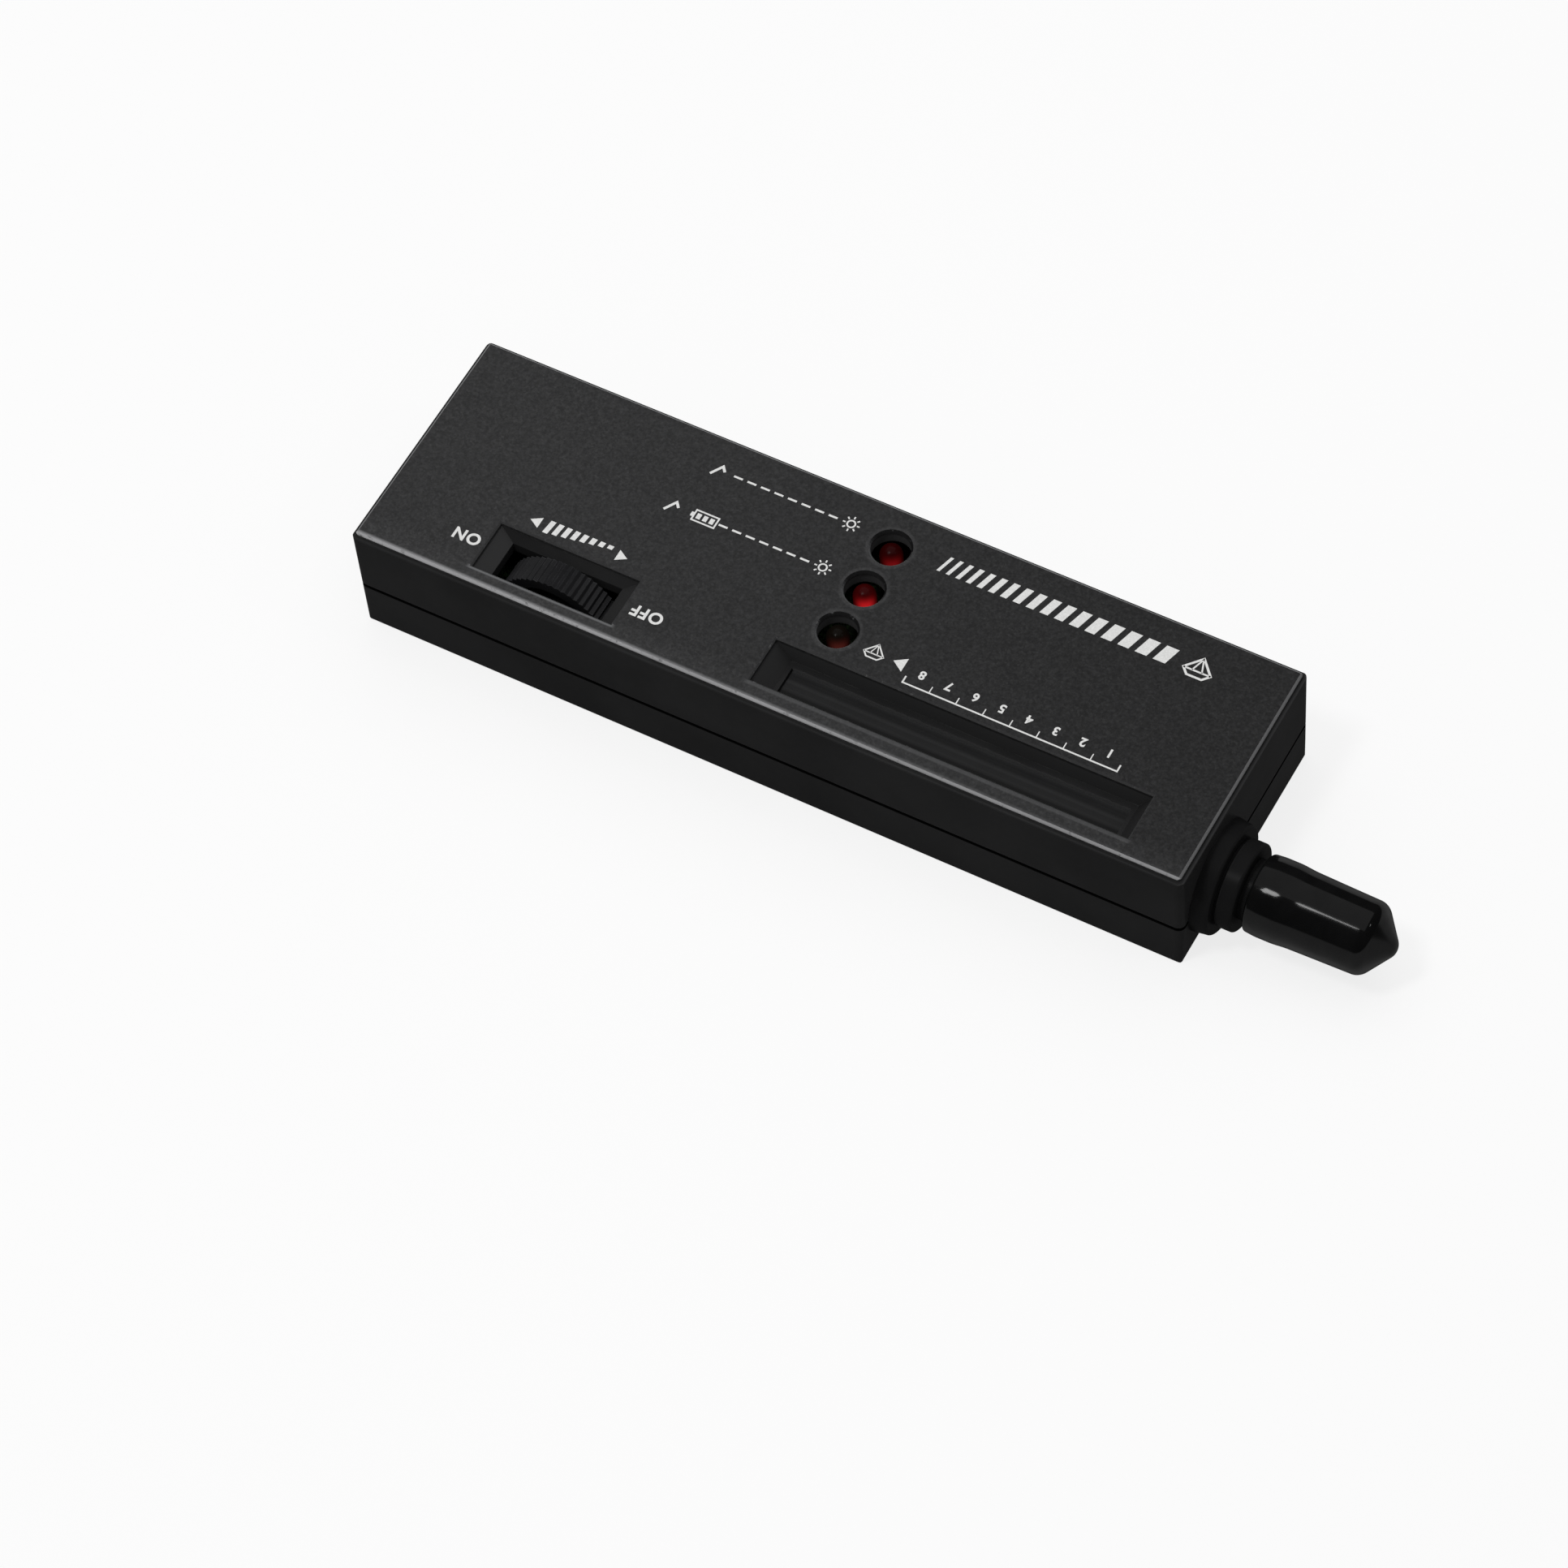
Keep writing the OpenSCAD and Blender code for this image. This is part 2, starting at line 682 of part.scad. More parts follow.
// Collar: a flange and a neck inside the case, a conical ring, a groove, a plain ring, a spigot for the cap
module nose_collar() {
    base = end_x + seat_gap;
    tip_r = collar_tip_d / 2;
    groove_w = 0.45;
    groove_deep = 0.4;
    ring_end = base + collar_ring_l;
    color(black_case)
    about_probe() difference() {
        union() {
            translate([0, in_end - flange_t]) square([flange_r, flange_t - seat_gap]);
            translate([0, in_end - over]) square([neck_r, wall + 2 * over]);
            collar_ring(base, ring_end, collar_d / 2, collar_ring_d / 2);
            translate([0, base]) square([tip_r - groove_deep, collar_l - over]);
            collar_ring(ring_end + groove_w, base + collar_l, tip_r, tip_r);
            translate([0, base]) square([spigot_r, spigot_end - base]);
        }
        translate([0, in_end - flange_t - over]) square([sleeve_r + run_gap, spigot_end]);
    }
}

// Plated tube that tapers to the mouth of the measuring tip
module probe_sleeve() {
    taper_l = 4;
    mouth_r = 1.3;
    mouth_round = 0.35;
    color(chrome)
    about_probe() difference() {
        polygon([[0, sleeve_back], [sleeve_r, sleeve_back], [sleeve_r, sleeve_front - taper_l],
            [mouth_r + mouth_round, sleeve_front - mouth_round], [mouth_r, sleeve_front], [0, sleeve_front]]);
        translate([0, sleeve_back - over]) square([bore_r, bore_front - sleeve_back + over]);
        translate([0, bore_front - over]) square([needle_r + 2 * run_gap, sleeve_front]);
    }
}

// Plug that closes the back of the sleeve and lets the two leads out
module sleeve_plug() {
    color(cream)
    difference() {
        about_probe() {
            translate([0, sleeve_back - over]) square([bore_r - seat_gap, plug_front - sleeve_back + over]);
            translate([0, sleeve_back - plug_flange]) square([sleeve_r, plug_flange - seat_gap]);
        }
        for (side = [-1, 1]) translate([sleeve_back - 2 * over, probe_y + side * lead_gap, probe_z])
            rotate([0, 90, 0]) cylinder(h = 4 * over, r = lead_r + run_gap);
    }
}

// Tube of a given radius swept along points
module tube(points, r, sides) {
    last = len(points) - 1;
    ring = [
        for (i = [0:last]) let (
            d = points[min(i + 1, last)] - points[max(i - 1, 0)],
            t = d / norm(d),
            u0 = cross(t, abs(t.z) < 0.8 ? [0, 0, 1] : [0, 1, 0]),
            u = u0 / norm(u0),
            v = cross(t, u)
        ) for (k = [0:sides - 1]) points[i] + r * (u * cos(360 * k / sides) + v * sin(360 * k / sides))
    ];
    walls = [
        for (i = [0:last - 1], k = [0:sides - 1]) let (
            a = i * sides + k,
            b = i * sides + (k + 1) % sides
        ) each [[a, b, a + sides], [b, b + sides, a + sides]]
    ];
    caps = [
        for (k = [1:sides - 2]) each [[0, k + 1, k], [last * sides, last * sides + k, last * sides + k + 1]]
    ];
    polyhedron(ring, concat(walls, caps));
}

// Smooth curve through hand-set points
function smooth(p, steps = 3) = [
    for (i = [0:len(p) - 2], s = [0:steps - 1]) let (
        a = p[max(i - 1, 0)],
        b = p[i],
        c = p[i + 1],
        d = p[min(i + 2, len(p) - 1)],
        t = s / steps
    ) 0.5 * (2 * b + (c - a) * t + (2 * a - 5 * b + 4 * c - d) * t * t + (3 * b - a - 3 * c + d) * t * t * t),
    p[len(p) - 1]
];

module probe_spring() {
    color(chrome) tube(coil_points, wire_r, coil_sides);
}

// Sliding carrier of the tip, with a pocket for the sensor at its back
module tip_holder() {
    pocket_r = 1.2;
    color(cream)
    about_probe() difference() {
        translate([0, holder_back]) square([bore_r - run_gap, holder_front - holder_back]);
        translate([0, holder_back - over]) square([needle_r + seat_gap, holder_front]);
        translate([0, holder_back - over]) square([pocket_r, pocket_l + over]);
    }
}

// Glass bead that senses how fast the tip cools
module thermistor() {
    bead_r = 0.9;
    bead_l = pocket_l - 2 * run_gap;
    color("#3a6ea8")
    about_probe() intersection() {
        union() {
            translate([0, holder_back + bead_r]) square([bead_r, bead_l - 2 * bead_r]);
            for (x = [bead_r, bead_l - bead_r]) translate([0, holder_back + x]) circle(bead_r);
        }
        translate([0, holder_back]) square([bore_r, pocket_l]);
    }
}

// Copper needle with a blunt point
module probe_tip() {
    point_r = 0.2;
    point_l = 1;
    color(copper)
    about_probe() polygon([[0, holder_back + pocket_l], [needle_r, holder_back + pocket_l],
        [needle_r, tip_end - point_l], [point_r, tip_end], [0, tip_end]]);
}

module probe_leads() {
    land_x = sleeve_back - 6.6;
    land_mid = probe_y + 4.2;
    color("#d8d8d0")
    for (side = [-1, 1]) let (y = probe_y + side * lead_gap, land_y = land_mid + side * 1.2) tube(smooth([
        [sleeve_back - 0.2, y, probe_z],
        [sleeve_back - 1.6, y, probe_z],
        [sleeve_back - 3, y, probe_z],
        [sleeve_back - 4.8, (y + land_y) / 2, board_top + 1.6],
        [land_x + 0.2, land_y, board_top + 1.8],
        [land_x, land_y, board_top + 1],
        [land_x, land_y, board_top + 0.5],
        [land_x, land_y, board_top + seat_gap]
    ]), lead_r, lead_sides);
}

// Soft cap: tight over the spigot, a slight waist past it, a blunt tapering end
module protective_cap() {
    mouth_r = cap_d / 2;
    waist_r = cap_waist_d / 2;
    tip_r = cap_tip_d / 2;
    lip = 0.3;
    grip_l = spigot_end - cap_x + lip;
    waist_l = grip_l + 2.4;
    // the closed end is a cone that touches two circles, the shoulder and the point
    shoulder = [tip_r - cap_round, cap_end - cap_nose_l];
    point = [0, cap_end - cap_point_r];
    run = (point - shoulder) / norm(point - shoulder);
    lean = (cap_round - cap_point_r) / norm(point - shoulder);
    outward = lean * run + sqrt(1 - lean * lean) * [run.y, -run.x];
    color(black_soft)
    about_probe() difference() {
        union() {
            polygon([
                [0, cap_x], [mouth_r - lip, cap_x], [mouth_r, cap_x + lip], [mouth_r, cap_x + grip_l],
                [waist_r, cap_x + waist_l], [tip_r, shoulder.y], shoulder + cap_round * outward,
                point + cap_point_r * outward, point
            ]);
            translate(shoulder) circle(cap_round);
            translate(point) circle(cap_point_r);
        }
        polygon([
            [0, cap_x - over], [mouth_r - cap_wall, cap_x - over], [mouth_r - cap_wall, spigot_end + lip],
            [tip_r - cap_wall, shoulder.y], shoulder + (cap_round - cap_wall) * outward,
            point + (cap_point_r - cap_wall) * outward, [0, cap_end - cap_wall]
        ]);
        translate([-2 * mouth_r, cap_x - over]) square([2 * mouth_r, cap_end]);
    }
}

// Board with an arm beside the battery, a slot for the wheel and a notch for the probe
module circuit_board() {
    notch_x = sleeve_back - 4.6;
    wheel_ease = 0.5;
    color("#3d5a2e")
    difference() {
        union() {
            box([board_back, -board_edge, board_z], [board_front, board_edge, board_top]);
            box([arm_back, -board_edge, board_z], [board_back + over, arm_side, board_top]);
        }
        box([notch_x, -case_w, board_z - over], [end_x, probe_y + flange_r + over, board_top + over]);
        box([wheel_x - wheel_d / 2 - wheel_ease, wheel_y - wheel_w / 2 - wheel_ease, board_z - over],
            [wheel_x + wheel_d / 2 + wheel_ease, wheel_y + wheel_w / 2 + wheel_ease / 2, board_top + over]);
        for (p = posts_board) translate([p.x, p.y, board_z - over])
            cylinder(h = 2 * over + board_t, r = board_hole_r);
    }
}

// Dual in-line chip with its rows of pins and an end notch
module chip(x, y, pins) {
    row = pins / 2;
    size = [row * pin_pitch, 6.4, 3.4];
    stand = 0.6;
    pin = [leg_w, 0.8, 2];
    translate([x, y, board_top]) {
        difference() {
            translate([0, -size.y / 2, stand]) cube(size);
            translate([0, 0, size.z]) cylinder(h = size.z, r = 1);
        }
        for (i = [0:row - 1], side = [-1, 1])
            translate([pin_pitch * (i + 0.5) - pin.x / 2, side * (size.y + stand) / 2 - pin.y / 2, 0])
                cube(pin);
    }
}

module display_driver() {
    color(black_chip) chip(3, -1, 18);
}

module amplifier() {
    color(black_chip) chip(3, 8.2, 14);
}

// Upright electrolytic cans: place and diameter
module capacitors() {
    can_h = 7.4;
    bead = [0.3, 0.6];
    color("#24304a")
    for (c = [[-19, 5, 5], [-19, -2, 5], [-3, -3, 6.3]]) translate([c.x, c.y, board_top]) {
        cylinder(h = can_h, d = c.z);
        cylinder(h = bead.y, d = c.z + bead.x);
    }
}

// Row of lying resistors on bent leads
module resistors() {
    count = 8;
    pitch = 3.2;
    rise = 1.3;
    body = [0.9, 4.2];
    wire = [0.3, 5.6];
    color("#c8a878")
    for (i = [0:count - 1]) translate([2 + pitch * i, 15.4, board_top + rise]) {
        rotate([90, 0, 0]) cylinder(h = body.y, r = body.x, center = true);
        rotate([90, 0, 0]) cylinder(h = wire.y, r = wire.x, center = true);
        for (side = [-1, 1]) translate([0, side * (wire.y - wire.x) / 2, -rise])
            cylinder(h = rise + wire.x, r = wire.x);
    }
}

module trimmers() {
    base = [6, 6, 3];
    rotor = [2.3, 4];
    slot = [4, 0.6, 1.2];
    color("#2f5fae")
    for (y = [2.9, 9.2]) translate([46, y, board_top]) difference() {
        union() {
            translate([-base.x / 2, -base.y / 2, 0]) cube(base);
            cylinder(h = rotor.y, r = rotor.x);
        }
        translate([0, 0, rotor.y]) cube(slot, center = true);
    }
}

module transistor() {
    body = [2.4, 4.6];
    flat = 1.4;
    stand = 2.5;
    color(black_chip)
    translate([-16, 12.5, board_top]) {
        translate([0, 0, stand]) intersection() {
            cylinder(h = body.y, r = body.x);
            translate([-body.x, -flat, 0]) cube([2 * body.x, 2 * body.x, body.y]);
        }
        for (i = [-1:1]) translate([leg_pitch * i - leg_w / 2, -leg_w / 2, 0])
            cube([leg_w, leg_w, stand + leg_w]);
    }
}

module buzzer() {
    can = [12, 7];
    port = [2, 2];
    color(black_chip)
    translate([35.5, 7.5, board_top]) difference() {
        cylinder(h = can.y, d = can.x);
        translate([0, 0, can.y - port.y]) cylinder(h = can.y, d = port.x);
    }
}

module battery() {
    color("#3a3d42")
    along(battery_x, battery_x + battery_l)
        rounded_rect(battery_y, battery_z, battery_y + battery_w, battery_z + battery_t, 1.5);
}

// Round stud and six-sided socket of the battery
module battery_terminals() {
    rim = 0.4;
    color(chrome)
    translate([battery_x + battery_l, 0, studs_z]) {
        translate([0, studs_y[0], 0]) rotate([0, 90, 0]) cylinder(h = stud_l, r = stud_r);
        translate([0, studs_y[1], 0]) rotate([0, 90, 0]) difference() {
            cylinder(h = stud_l, r = socket_r, $fn = 6);
            translate([0, 0, rim]) cylinder(h = stud_l, r = stud_r + run_gap);
        }
    }
}

// Moulded clip over both terminals
module battery_snap() {
    mid = (studs_y[0] + studs_y[1]) / 2;
    half = [12, 5.6];
    end_r = 5.5;
    color(black_soft)
    difference() {
        along(snap_x, snap_x + snap_t)
            rounded_rect(mid - half.x, studs_z - half.y, mid + half.x, studs_z + half.y, end_r);
        for (i = [0, 1]) translate([snap_x - over, studs_y[i], studs_z]) rotate([0, 90, 0])
            cylinder(h = stud_l + over, r = (i == 0 ? stud_r : socket_r) + hole_ease);
    }
}

// Lead from the clip down to the board
module battery_lead(y, land_y) {
    front = snap_x + snap_t;
    land_x = board_back + 2.6;
    tube(smooth([
        [front + seat_gap, y, studs_z],
        [front + 0.6, y, studs_z],
        [front + 1.2, y, studs_z],
        [front + 3.4, (y + land_y) / 2, studs_z + 2],
        [land_x - 0.4, land_y, board_top + 2.6],
        [land_x, land_y, board_top + 1.2],
        [land_x, land_y, board_top + 0.6],
        [land_x, land_y, board_top + seat_gap]
    ]), battery_lead_r, lead_sides);
}

module battery_lead_red() {
    color("#b3282c") battery_lead(studs_y[0], -5);
}

module battery_lead_black() {
    color(black_chip) battery_lead(studs_y[1], 9.5);
}

// Foam between the battery and the roof
module battery_pad() {
    margin = [8, 5];
    color("#4c4f54")
    box([battery_x + margin.x, battery_y + margin.y, battery_z + battery_t],
        [battery_x + battery_l - margin.x, battery_y + battery_w - margin.y, roof_z]);
}

top_shell();
faceplate();
bottom_shell();
battery_door();
case_screws();
thumbwheel();
wheel_screw();
control_pot();
bar_window();
bar_leds_green();
bar_leds_amber();
bar_leds_red();
lamp_ready();
lamp_battery();
lamp_diamond();
nose_collar();
probe_sleeve();
sleeve_plug();
probe_spring();
tip_holder();
thermistor();
probe_tip();
probe_leads();
protective_cap();
circuit_board();
display_driver();
amplifier();
capacitors();
resistors();
trimmers();
transistor();
buzzer();
battery();
battery_terminals();
battery_snap();
battery_lead_red();
battery_lead_black();
battery_pad();
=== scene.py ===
"""Looks of a hand-held gemstone tester: finishes, printed marks, soft cap and studio."""

import json
import math

import bmesh
import bpy
from bpy.props import FloatProperty, FloatVectorProperty, IntProperty, PointerProperty
from mathutils import Matrix, Vector, noise


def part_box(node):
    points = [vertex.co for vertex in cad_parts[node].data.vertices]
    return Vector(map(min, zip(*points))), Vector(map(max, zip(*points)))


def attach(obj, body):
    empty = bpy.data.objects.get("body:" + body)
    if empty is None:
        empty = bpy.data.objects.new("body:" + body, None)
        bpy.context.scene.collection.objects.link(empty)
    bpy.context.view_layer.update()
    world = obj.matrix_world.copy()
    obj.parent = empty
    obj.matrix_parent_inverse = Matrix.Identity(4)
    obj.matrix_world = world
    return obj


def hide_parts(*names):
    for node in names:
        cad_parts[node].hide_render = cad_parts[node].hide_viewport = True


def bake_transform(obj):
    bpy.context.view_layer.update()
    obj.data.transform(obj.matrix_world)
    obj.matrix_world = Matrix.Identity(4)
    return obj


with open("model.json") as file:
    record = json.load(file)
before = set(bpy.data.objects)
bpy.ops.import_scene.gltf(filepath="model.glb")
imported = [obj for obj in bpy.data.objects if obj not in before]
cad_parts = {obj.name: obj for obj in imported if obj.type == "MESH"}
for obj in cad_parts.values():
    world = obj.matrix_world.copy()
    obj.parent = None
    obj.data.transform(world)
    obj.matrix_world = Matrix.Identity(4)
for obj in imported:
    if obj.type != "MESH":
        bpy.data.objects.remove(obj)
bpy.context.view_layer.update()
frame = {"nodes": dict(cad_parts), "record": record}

bl_info = {
    "name": "Gemstone Tester",
    "version": (1, 0, 0),
    "blender": (4, 5, 0),
    "location": "3D View > Sidebar > Tester",
    "description": "Finishes, printed marks, cap and studio for a hand-held gemstone tester",
    "category": "Object",
}

MM = 0.001
# Points that are closer than this, in metres, are one point
TOUCHING = 1e-7
PLATE_LOW, PLATE_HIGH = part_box("faceplate")
PARTING_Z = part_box("top_shell")[0].z
LAMPS = ("lamp_ready", "lamp_battery", "lamp_diamond")
SLOT_COLOURS = {material["slot"]: material["base_color"] for material in frame["record"]["materials"]}
SLOT_NODES = {}
for part in frame["record"]["subparts"]:
    SLOT_NODES.setdefault(part["material_slot"], []).append(part["node"])


def middle_of(node):
    """Middle of a CAD node's box."""
    return sum(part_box(node), Vector()) / 2


# Properties


def tone(label, value):
    """Colour property."""
    return FloatVectorProperty(
        name=label, description="Colour of the " + label.lower(), subtype="COLOR", size=3,
        min=0.0, max=1.0, default=value,
    )


def length(label, description, millimetres):
    """Length property, in metres."""
    return FloatProperty(name=label, description=description, unit="LENGTH", default=millimetres * MM)


def angle(label, description, degrees):
    """Angle property, in radians."""
    return FloatProperty(name=label, description=description, subtype="ANGLE", default=math.radians(degrees))


def share(label, description, value):
    """Property from 0 to 1."""
    return FloatProperty(name=label, description=description, subtype="FACTOR", default=value,
                         min=0.0, max=1.0)


def whole_number(label, description, value, low, high):
    """Whole number between two limits."""
    return IntProperty(name=label, description=description, default=value, min=low, max=high)


class TesterFinishes(bpy.types.PropertyGroup):
    """Colours of the pieces, and the sizes that the finishes follow."""

    case_plastic: tone("Housing plastic", (0.021, 0.021, 0.0213))
    collar_plastic: tone("Collar", (0.0095, 0.0095, 0.0097))
    plate_finish: tone("Faceplate lacquer", (0.0325, 0.0325, 0.0331))
    bare_edge: tone("Bare edge of the faceplate", (0.5, 0.5, 0.51))
    # paler than the lacquer: the colour of worn cut rims and of the painted highlight on the rims of the
    # slots and holes
    rim_wear_and_highlight: tone("Cut rims of the slots", (0.13, 0.131, 0.135))
    ink: tone("Printing ink", (0.84, 0.84, 0.83))
    wheel_plastic: tone("Thumbwheel", SLOT_COLOURS["wheel_plastic"])
    window_tint: tone("Display window", (0.0155, 0.0156, 0.016))
    lamp_red: tone("Battery lamp", SLOT_COLOURS["lamp_red"])
    lamp_red_dim: tone("Ready lamp", SLOT_COLOURS["lamp_red_dim"])
    lamp_dark: tone("Unlit lamp", SLOT_COLOURS["lamp_dark"])
    # painted glow: red light painted at the foot of the unlit lamp
    unlit_lamp_glow: tone("Red that shows at the foot of the unlit lamp", (0.05, 0.008, 0.006))
    cap_vinyl: tone("Soft cap", (0.0036, 0.0036, 0.0037))
    board_green: tone("Circuit board", SLOT_COLOURS["board_green"])
    battery_wrap: tone("Battery wrap", SLOT_COLOURS["battery_wrap"])
    groove: length("Groove", "Height of the dark groove below the case's parting line", 0.7)
    lens: length("Lens", "Radius of a lamp's lens", 1.8)
    lamp_rim: length("Lamp rim", "Radius of a lamp hole at the top of its bevel", 3.35)
    lamp_turn: angle("Lamp turn", "Direction that the lamps' lit side faces", 34.0)


class TesterPrint(bpy.types.PropertyGroup):
    """Sizes of the printed marks."""

    ink_height: length("Ink height", "How far the ink stands above the plate", 0.02)
    line_width: length("Line width", "Width of the scale's line and its end ticks", 0.26)
    digit_height: length("Digit height", "Height of the scale's digits", 1.55)
    word_height: length("Switch lettering height", "Height of the lettering beside the wheel", 2.1)
    scale_start: length("Scale start", "Position of the scale's first tick along the plate", 38.46)
    scale_pitch: length("Scale pitch", "Distance between the scale's ticks", 4.37)
    scale_steps: whole_number("Scale steps", "Number of numbered steps", 8, 1, 12)
    scale_line: length("Scale line", "Position of the scale's line across the plate", -7.43)
    tick_length: length("Tick length", "Length of a tick", 1.2)
    tick_width: length("Tick width", "Width of the ticks between the scale's ends", 0.17)


class TesterCap(bpy.types.PropertyGroup):
    """Shape of the soft cap."""

    wall: length("Wall", "Thickness of the wall", 1.35)
    grip: length("Grip", "Length of the part that swells over the collar's spigot", 4.2)
    waist: length("Waist", "How far the wall draws in past the grip", 0.15)
    taper: length("Taper", "How far the wall draws in from the waist to the closed end", 0.3)
    nose: length("Nose", "Length of the tapering closed end", 4.98)
    shoulder: length("Shoulder", "Radius where the closed end begins", 2.4)
    point: length("Point", "Radius of the closed end's point", 2.3)
    waviness: length("Waviness", "Unevenness of the soft wall", 0.02)
    segments: whole_number("Segments", "Segments round the cap", 96, 24, 160)


class TesterStage(bpy.types.PropertyGroup):
    """Camera, floor and light."""

    azimuth: angle("Azimuth", "Camera direction round the object", 34.33)
    elevation: angle("Elevation", "Camera height above the horizon", 56.27)
    roll: angle("Roll", "Tilt of the camera about its own axis", -6.53)
    distance: length("Distance", "From the camera to the point it looks at", 858.8)
    aim: FloatVectorProperty(name="Aim", description="Point that the camera looks at", subtype="XYZ",
                             unit="LENGTH", size=3, default=(-8.0 * MM, -24.7 * MM, 10.8 * MM))
    lens: FloatProperty(name="Lens", description="Focal length on a 36 mm sensor", subtype="DISTANCE_CAMERA",
                        default=135.1)
    floor: tone("Floor", (0.92, 0.92, 0.92))
    floor_bounce: tone("Floor in the light that it throws back", (0.45, 0.45, 0.45))
    floor_glow: share("Floor glow", "Share of the floor's white that doesn't depend on the light", 0.8)
    fill: share("Fill", "Strength of the even light from all round", 0.28)


class TesterLooks(bpy.types.PropertyGroup):
    """Everything that a user would change."""

    finishes: PointerProperty(type=TesterFinishes)
    marks: PointerProperty(type=TesterPrint)
    cap: PointerProperty(type=TesterCap)
    stage: PointerProperty(type=TesterStage)


# Shader helpers


def add(tree, kind, inputs=None, **settings):
    """Adds a shader node, with its settings and with its inputs linked or set."""
    node = tree.nodes.new("ShaderNode" + kind)
    for name, value in settings.items():
        setattr(node, name, value)
    for key, value in (inputs or {}).items():
        feed(tree, node.inputs[key], value)
    return node


def feed(tree, socket, value):
    """Links a socket into another, or sets a plain value."""
    if isinstance(value, bpy.types.NodeSocket):
        tree.links.new(value, socket)
    else:
        socket.default_value = value


def calc(tree, operation, *values):
    """Math node's output for one to three values or sockets."""
    return add(tree, "Math", dict(enumerate(values)), operation=operation).outputs[0]


def chain(tree, operation, *values):
    """Math operation carried along a row of values or sockets."""
    total, *others = values
    for value in others:
        total = calc(tree, operation, total, value)
    return total


def times(tree, *values):
    """Product of values or sockets."""
    return chain(tree, "MULTIPLY", *values)


def largest(tree, *values):
    """Largest of values or sockets."""
    return chain(tree, "MAXIMUM", *values)


def ramp(tree, value, low, high, start=0.0, end=1.0):
    """Smooth step of a value between two limits."""
    limits = {"Value": value, "From Min": low, "From Max": high, "To Min": start, "To Max": end}
    return add(tree, "MapRange", limits, interpolation_type="SMOOTHSTEP").outputs["Result"]


def band(tree, value, rise, fall):
    """Product of two smooth steps of one value, each given by its limits."""
    return times(tree, ramp(tree, value, *rise), ramp(tree, value, *fall))


def mix_colour(tree, mask, first, second):
    """Colour that goes from the first to the second as the mask rises."""
    first, second = (c if isinstance(c, bpy.types.NodeSocket) else (*c, 1.0) for c in (first, second))
    return add(tree, "Mix", {"Factor": mask, 6: first, 7: second}, data_type="RGBA").outputs[2]


def mix_value(tree, mask, first, second):
    """Value that goes from the first to the second as the mask rises."""
    return add(tree, "Mix", {"Factor": mask, 2: first, 3: second}, data_type="FLOAT").outputs[0]


def object_place(tree):
    """Coordinates in the object's own frame."""
    return add(tree, "TexCoord").outputs["Object"]


def split(tree, vector):
    """X, Y and Z of a vector."""
    return tuple(add(tree, "SeparateXYZ", {0: vector}).outputs)


def place_of(tree):
    """Object coordinates, split into X, Y and Z."""
    return split(tree, object_place(tree))


def facing_of(tree):
    """Direction that a face looks in, split into X, Y and Z."""
    return split(tree, add(tree, "NewGeometry").outputs["True Normal"])


def speckle(tree, scale, detail, roughness, distortion=0.0):
    """Noise in the object's own frame."""
    inputs = {"Vector": object_place(tree), "Scale": scale, "Detail": detail, "Roughness": roughness,
              "Distortion": distortion}
    return add(tree, "TexNoise", inputs).outputs["Fac"]


def away_from_lamps(tree):
    """Distance from the axis of the nearest lamp."""
    x, y = place_of(tree)[:2]
    distances = []
    for axis in map(middle_of, LAMPS):
        u, v = calc(tree, "SUBTRACT", x, axis.x), calc(tree, "SUBTRACT", y, axis.y)
        distances.append(calc(tree, "SQRT", calc(tree, "ADD", times(tree, u, u), times(tree, v, v))))
    return chain(tree, "MINIMUM", *distances)


def tinted(colour, factor):
    """Colour made lighter or darker."""
    return tuple(min(1.0, channel * factor) for channel in colour)


def new_group(name, inputs, outputs):
    """Empty shader group with named float inputs and outputs."""
    group = bpy.data.node_groups.new(name, "ShaderNodeTree")
    for label, value in inputs.items():
        socket = group.interface.new_socket(label, in_out="INPUT", socket_type="NodeSocketFloat")
        socket.default_value = value
    for label in outputs:
        group.interface.new_socket(label, in_out="OUTPUT", socket_type="NodeSocketFloat")
    ends = group.nodes.new("NodeGroupInput").outputs, group.nodes.new("NodeGroupOutput").inputs
    return group, *ends


def place_group(tree, name, inputs=None):
    """Puts a shared group into a material and returns its outputs."""
    return add(tree, "Group", inputs, node_tree=bpy.data.node_groups[name]).outputs


def make_moulded_grain():
    """Fine spark-eroded grain of moulded plastic, with slow drifts of tone."""
    group, given, out = new_group("Moulded grain", {"Grain": 3200.0}, ["Height", "Tone"])
    where = object_place(group)
    fine = speckle(group, scale=given["Grain"], detail=3.0, roughness=0.6)
    cells = add(group, "TexVoronoi", {"Vector": where, "Scale": given["Grain"]}, feature="SMOOTH_F1")
    drift = speckle(group, scale=55.0, detail=4.0, roughness=0.55)
    feed(group, out["Height"], calc(group, "MULTIPLY_ADD", cells.outputs["Distance"], 0.45, fine))
    feed(group, out["Tone"], ramp(group, drift, 0.3, 0.7))


def make_edge_wear():
    """Mask of rubbed edges, broken up by noise."""
    group, given, out = new_group("Edge wear", {"Reach": 0.3 * MM, "Amount": 1.0}, ["Mask"])
    soft = add(group, "Bevel", {"Radius": given["Reach"]}, samples=6).outputs["Normal"]
    sharp = add(group, "NewGeometry").outputs["Normal"]
    turn = add(group, "VectorMath", {0: soft, 1: sharp}, operation="DOT_PRODUCT").outputs["Value"]
    patches = speckle(group, scale=420.0, detail=5.0, roughness=0.65)
    edge, broken = ramp(group, turn, 0.995, 0.86), ramp(group, patches, 0.38, 0.66)
    feed(group, out["Mask"], times(group, edge, broken, given["Amount"]))


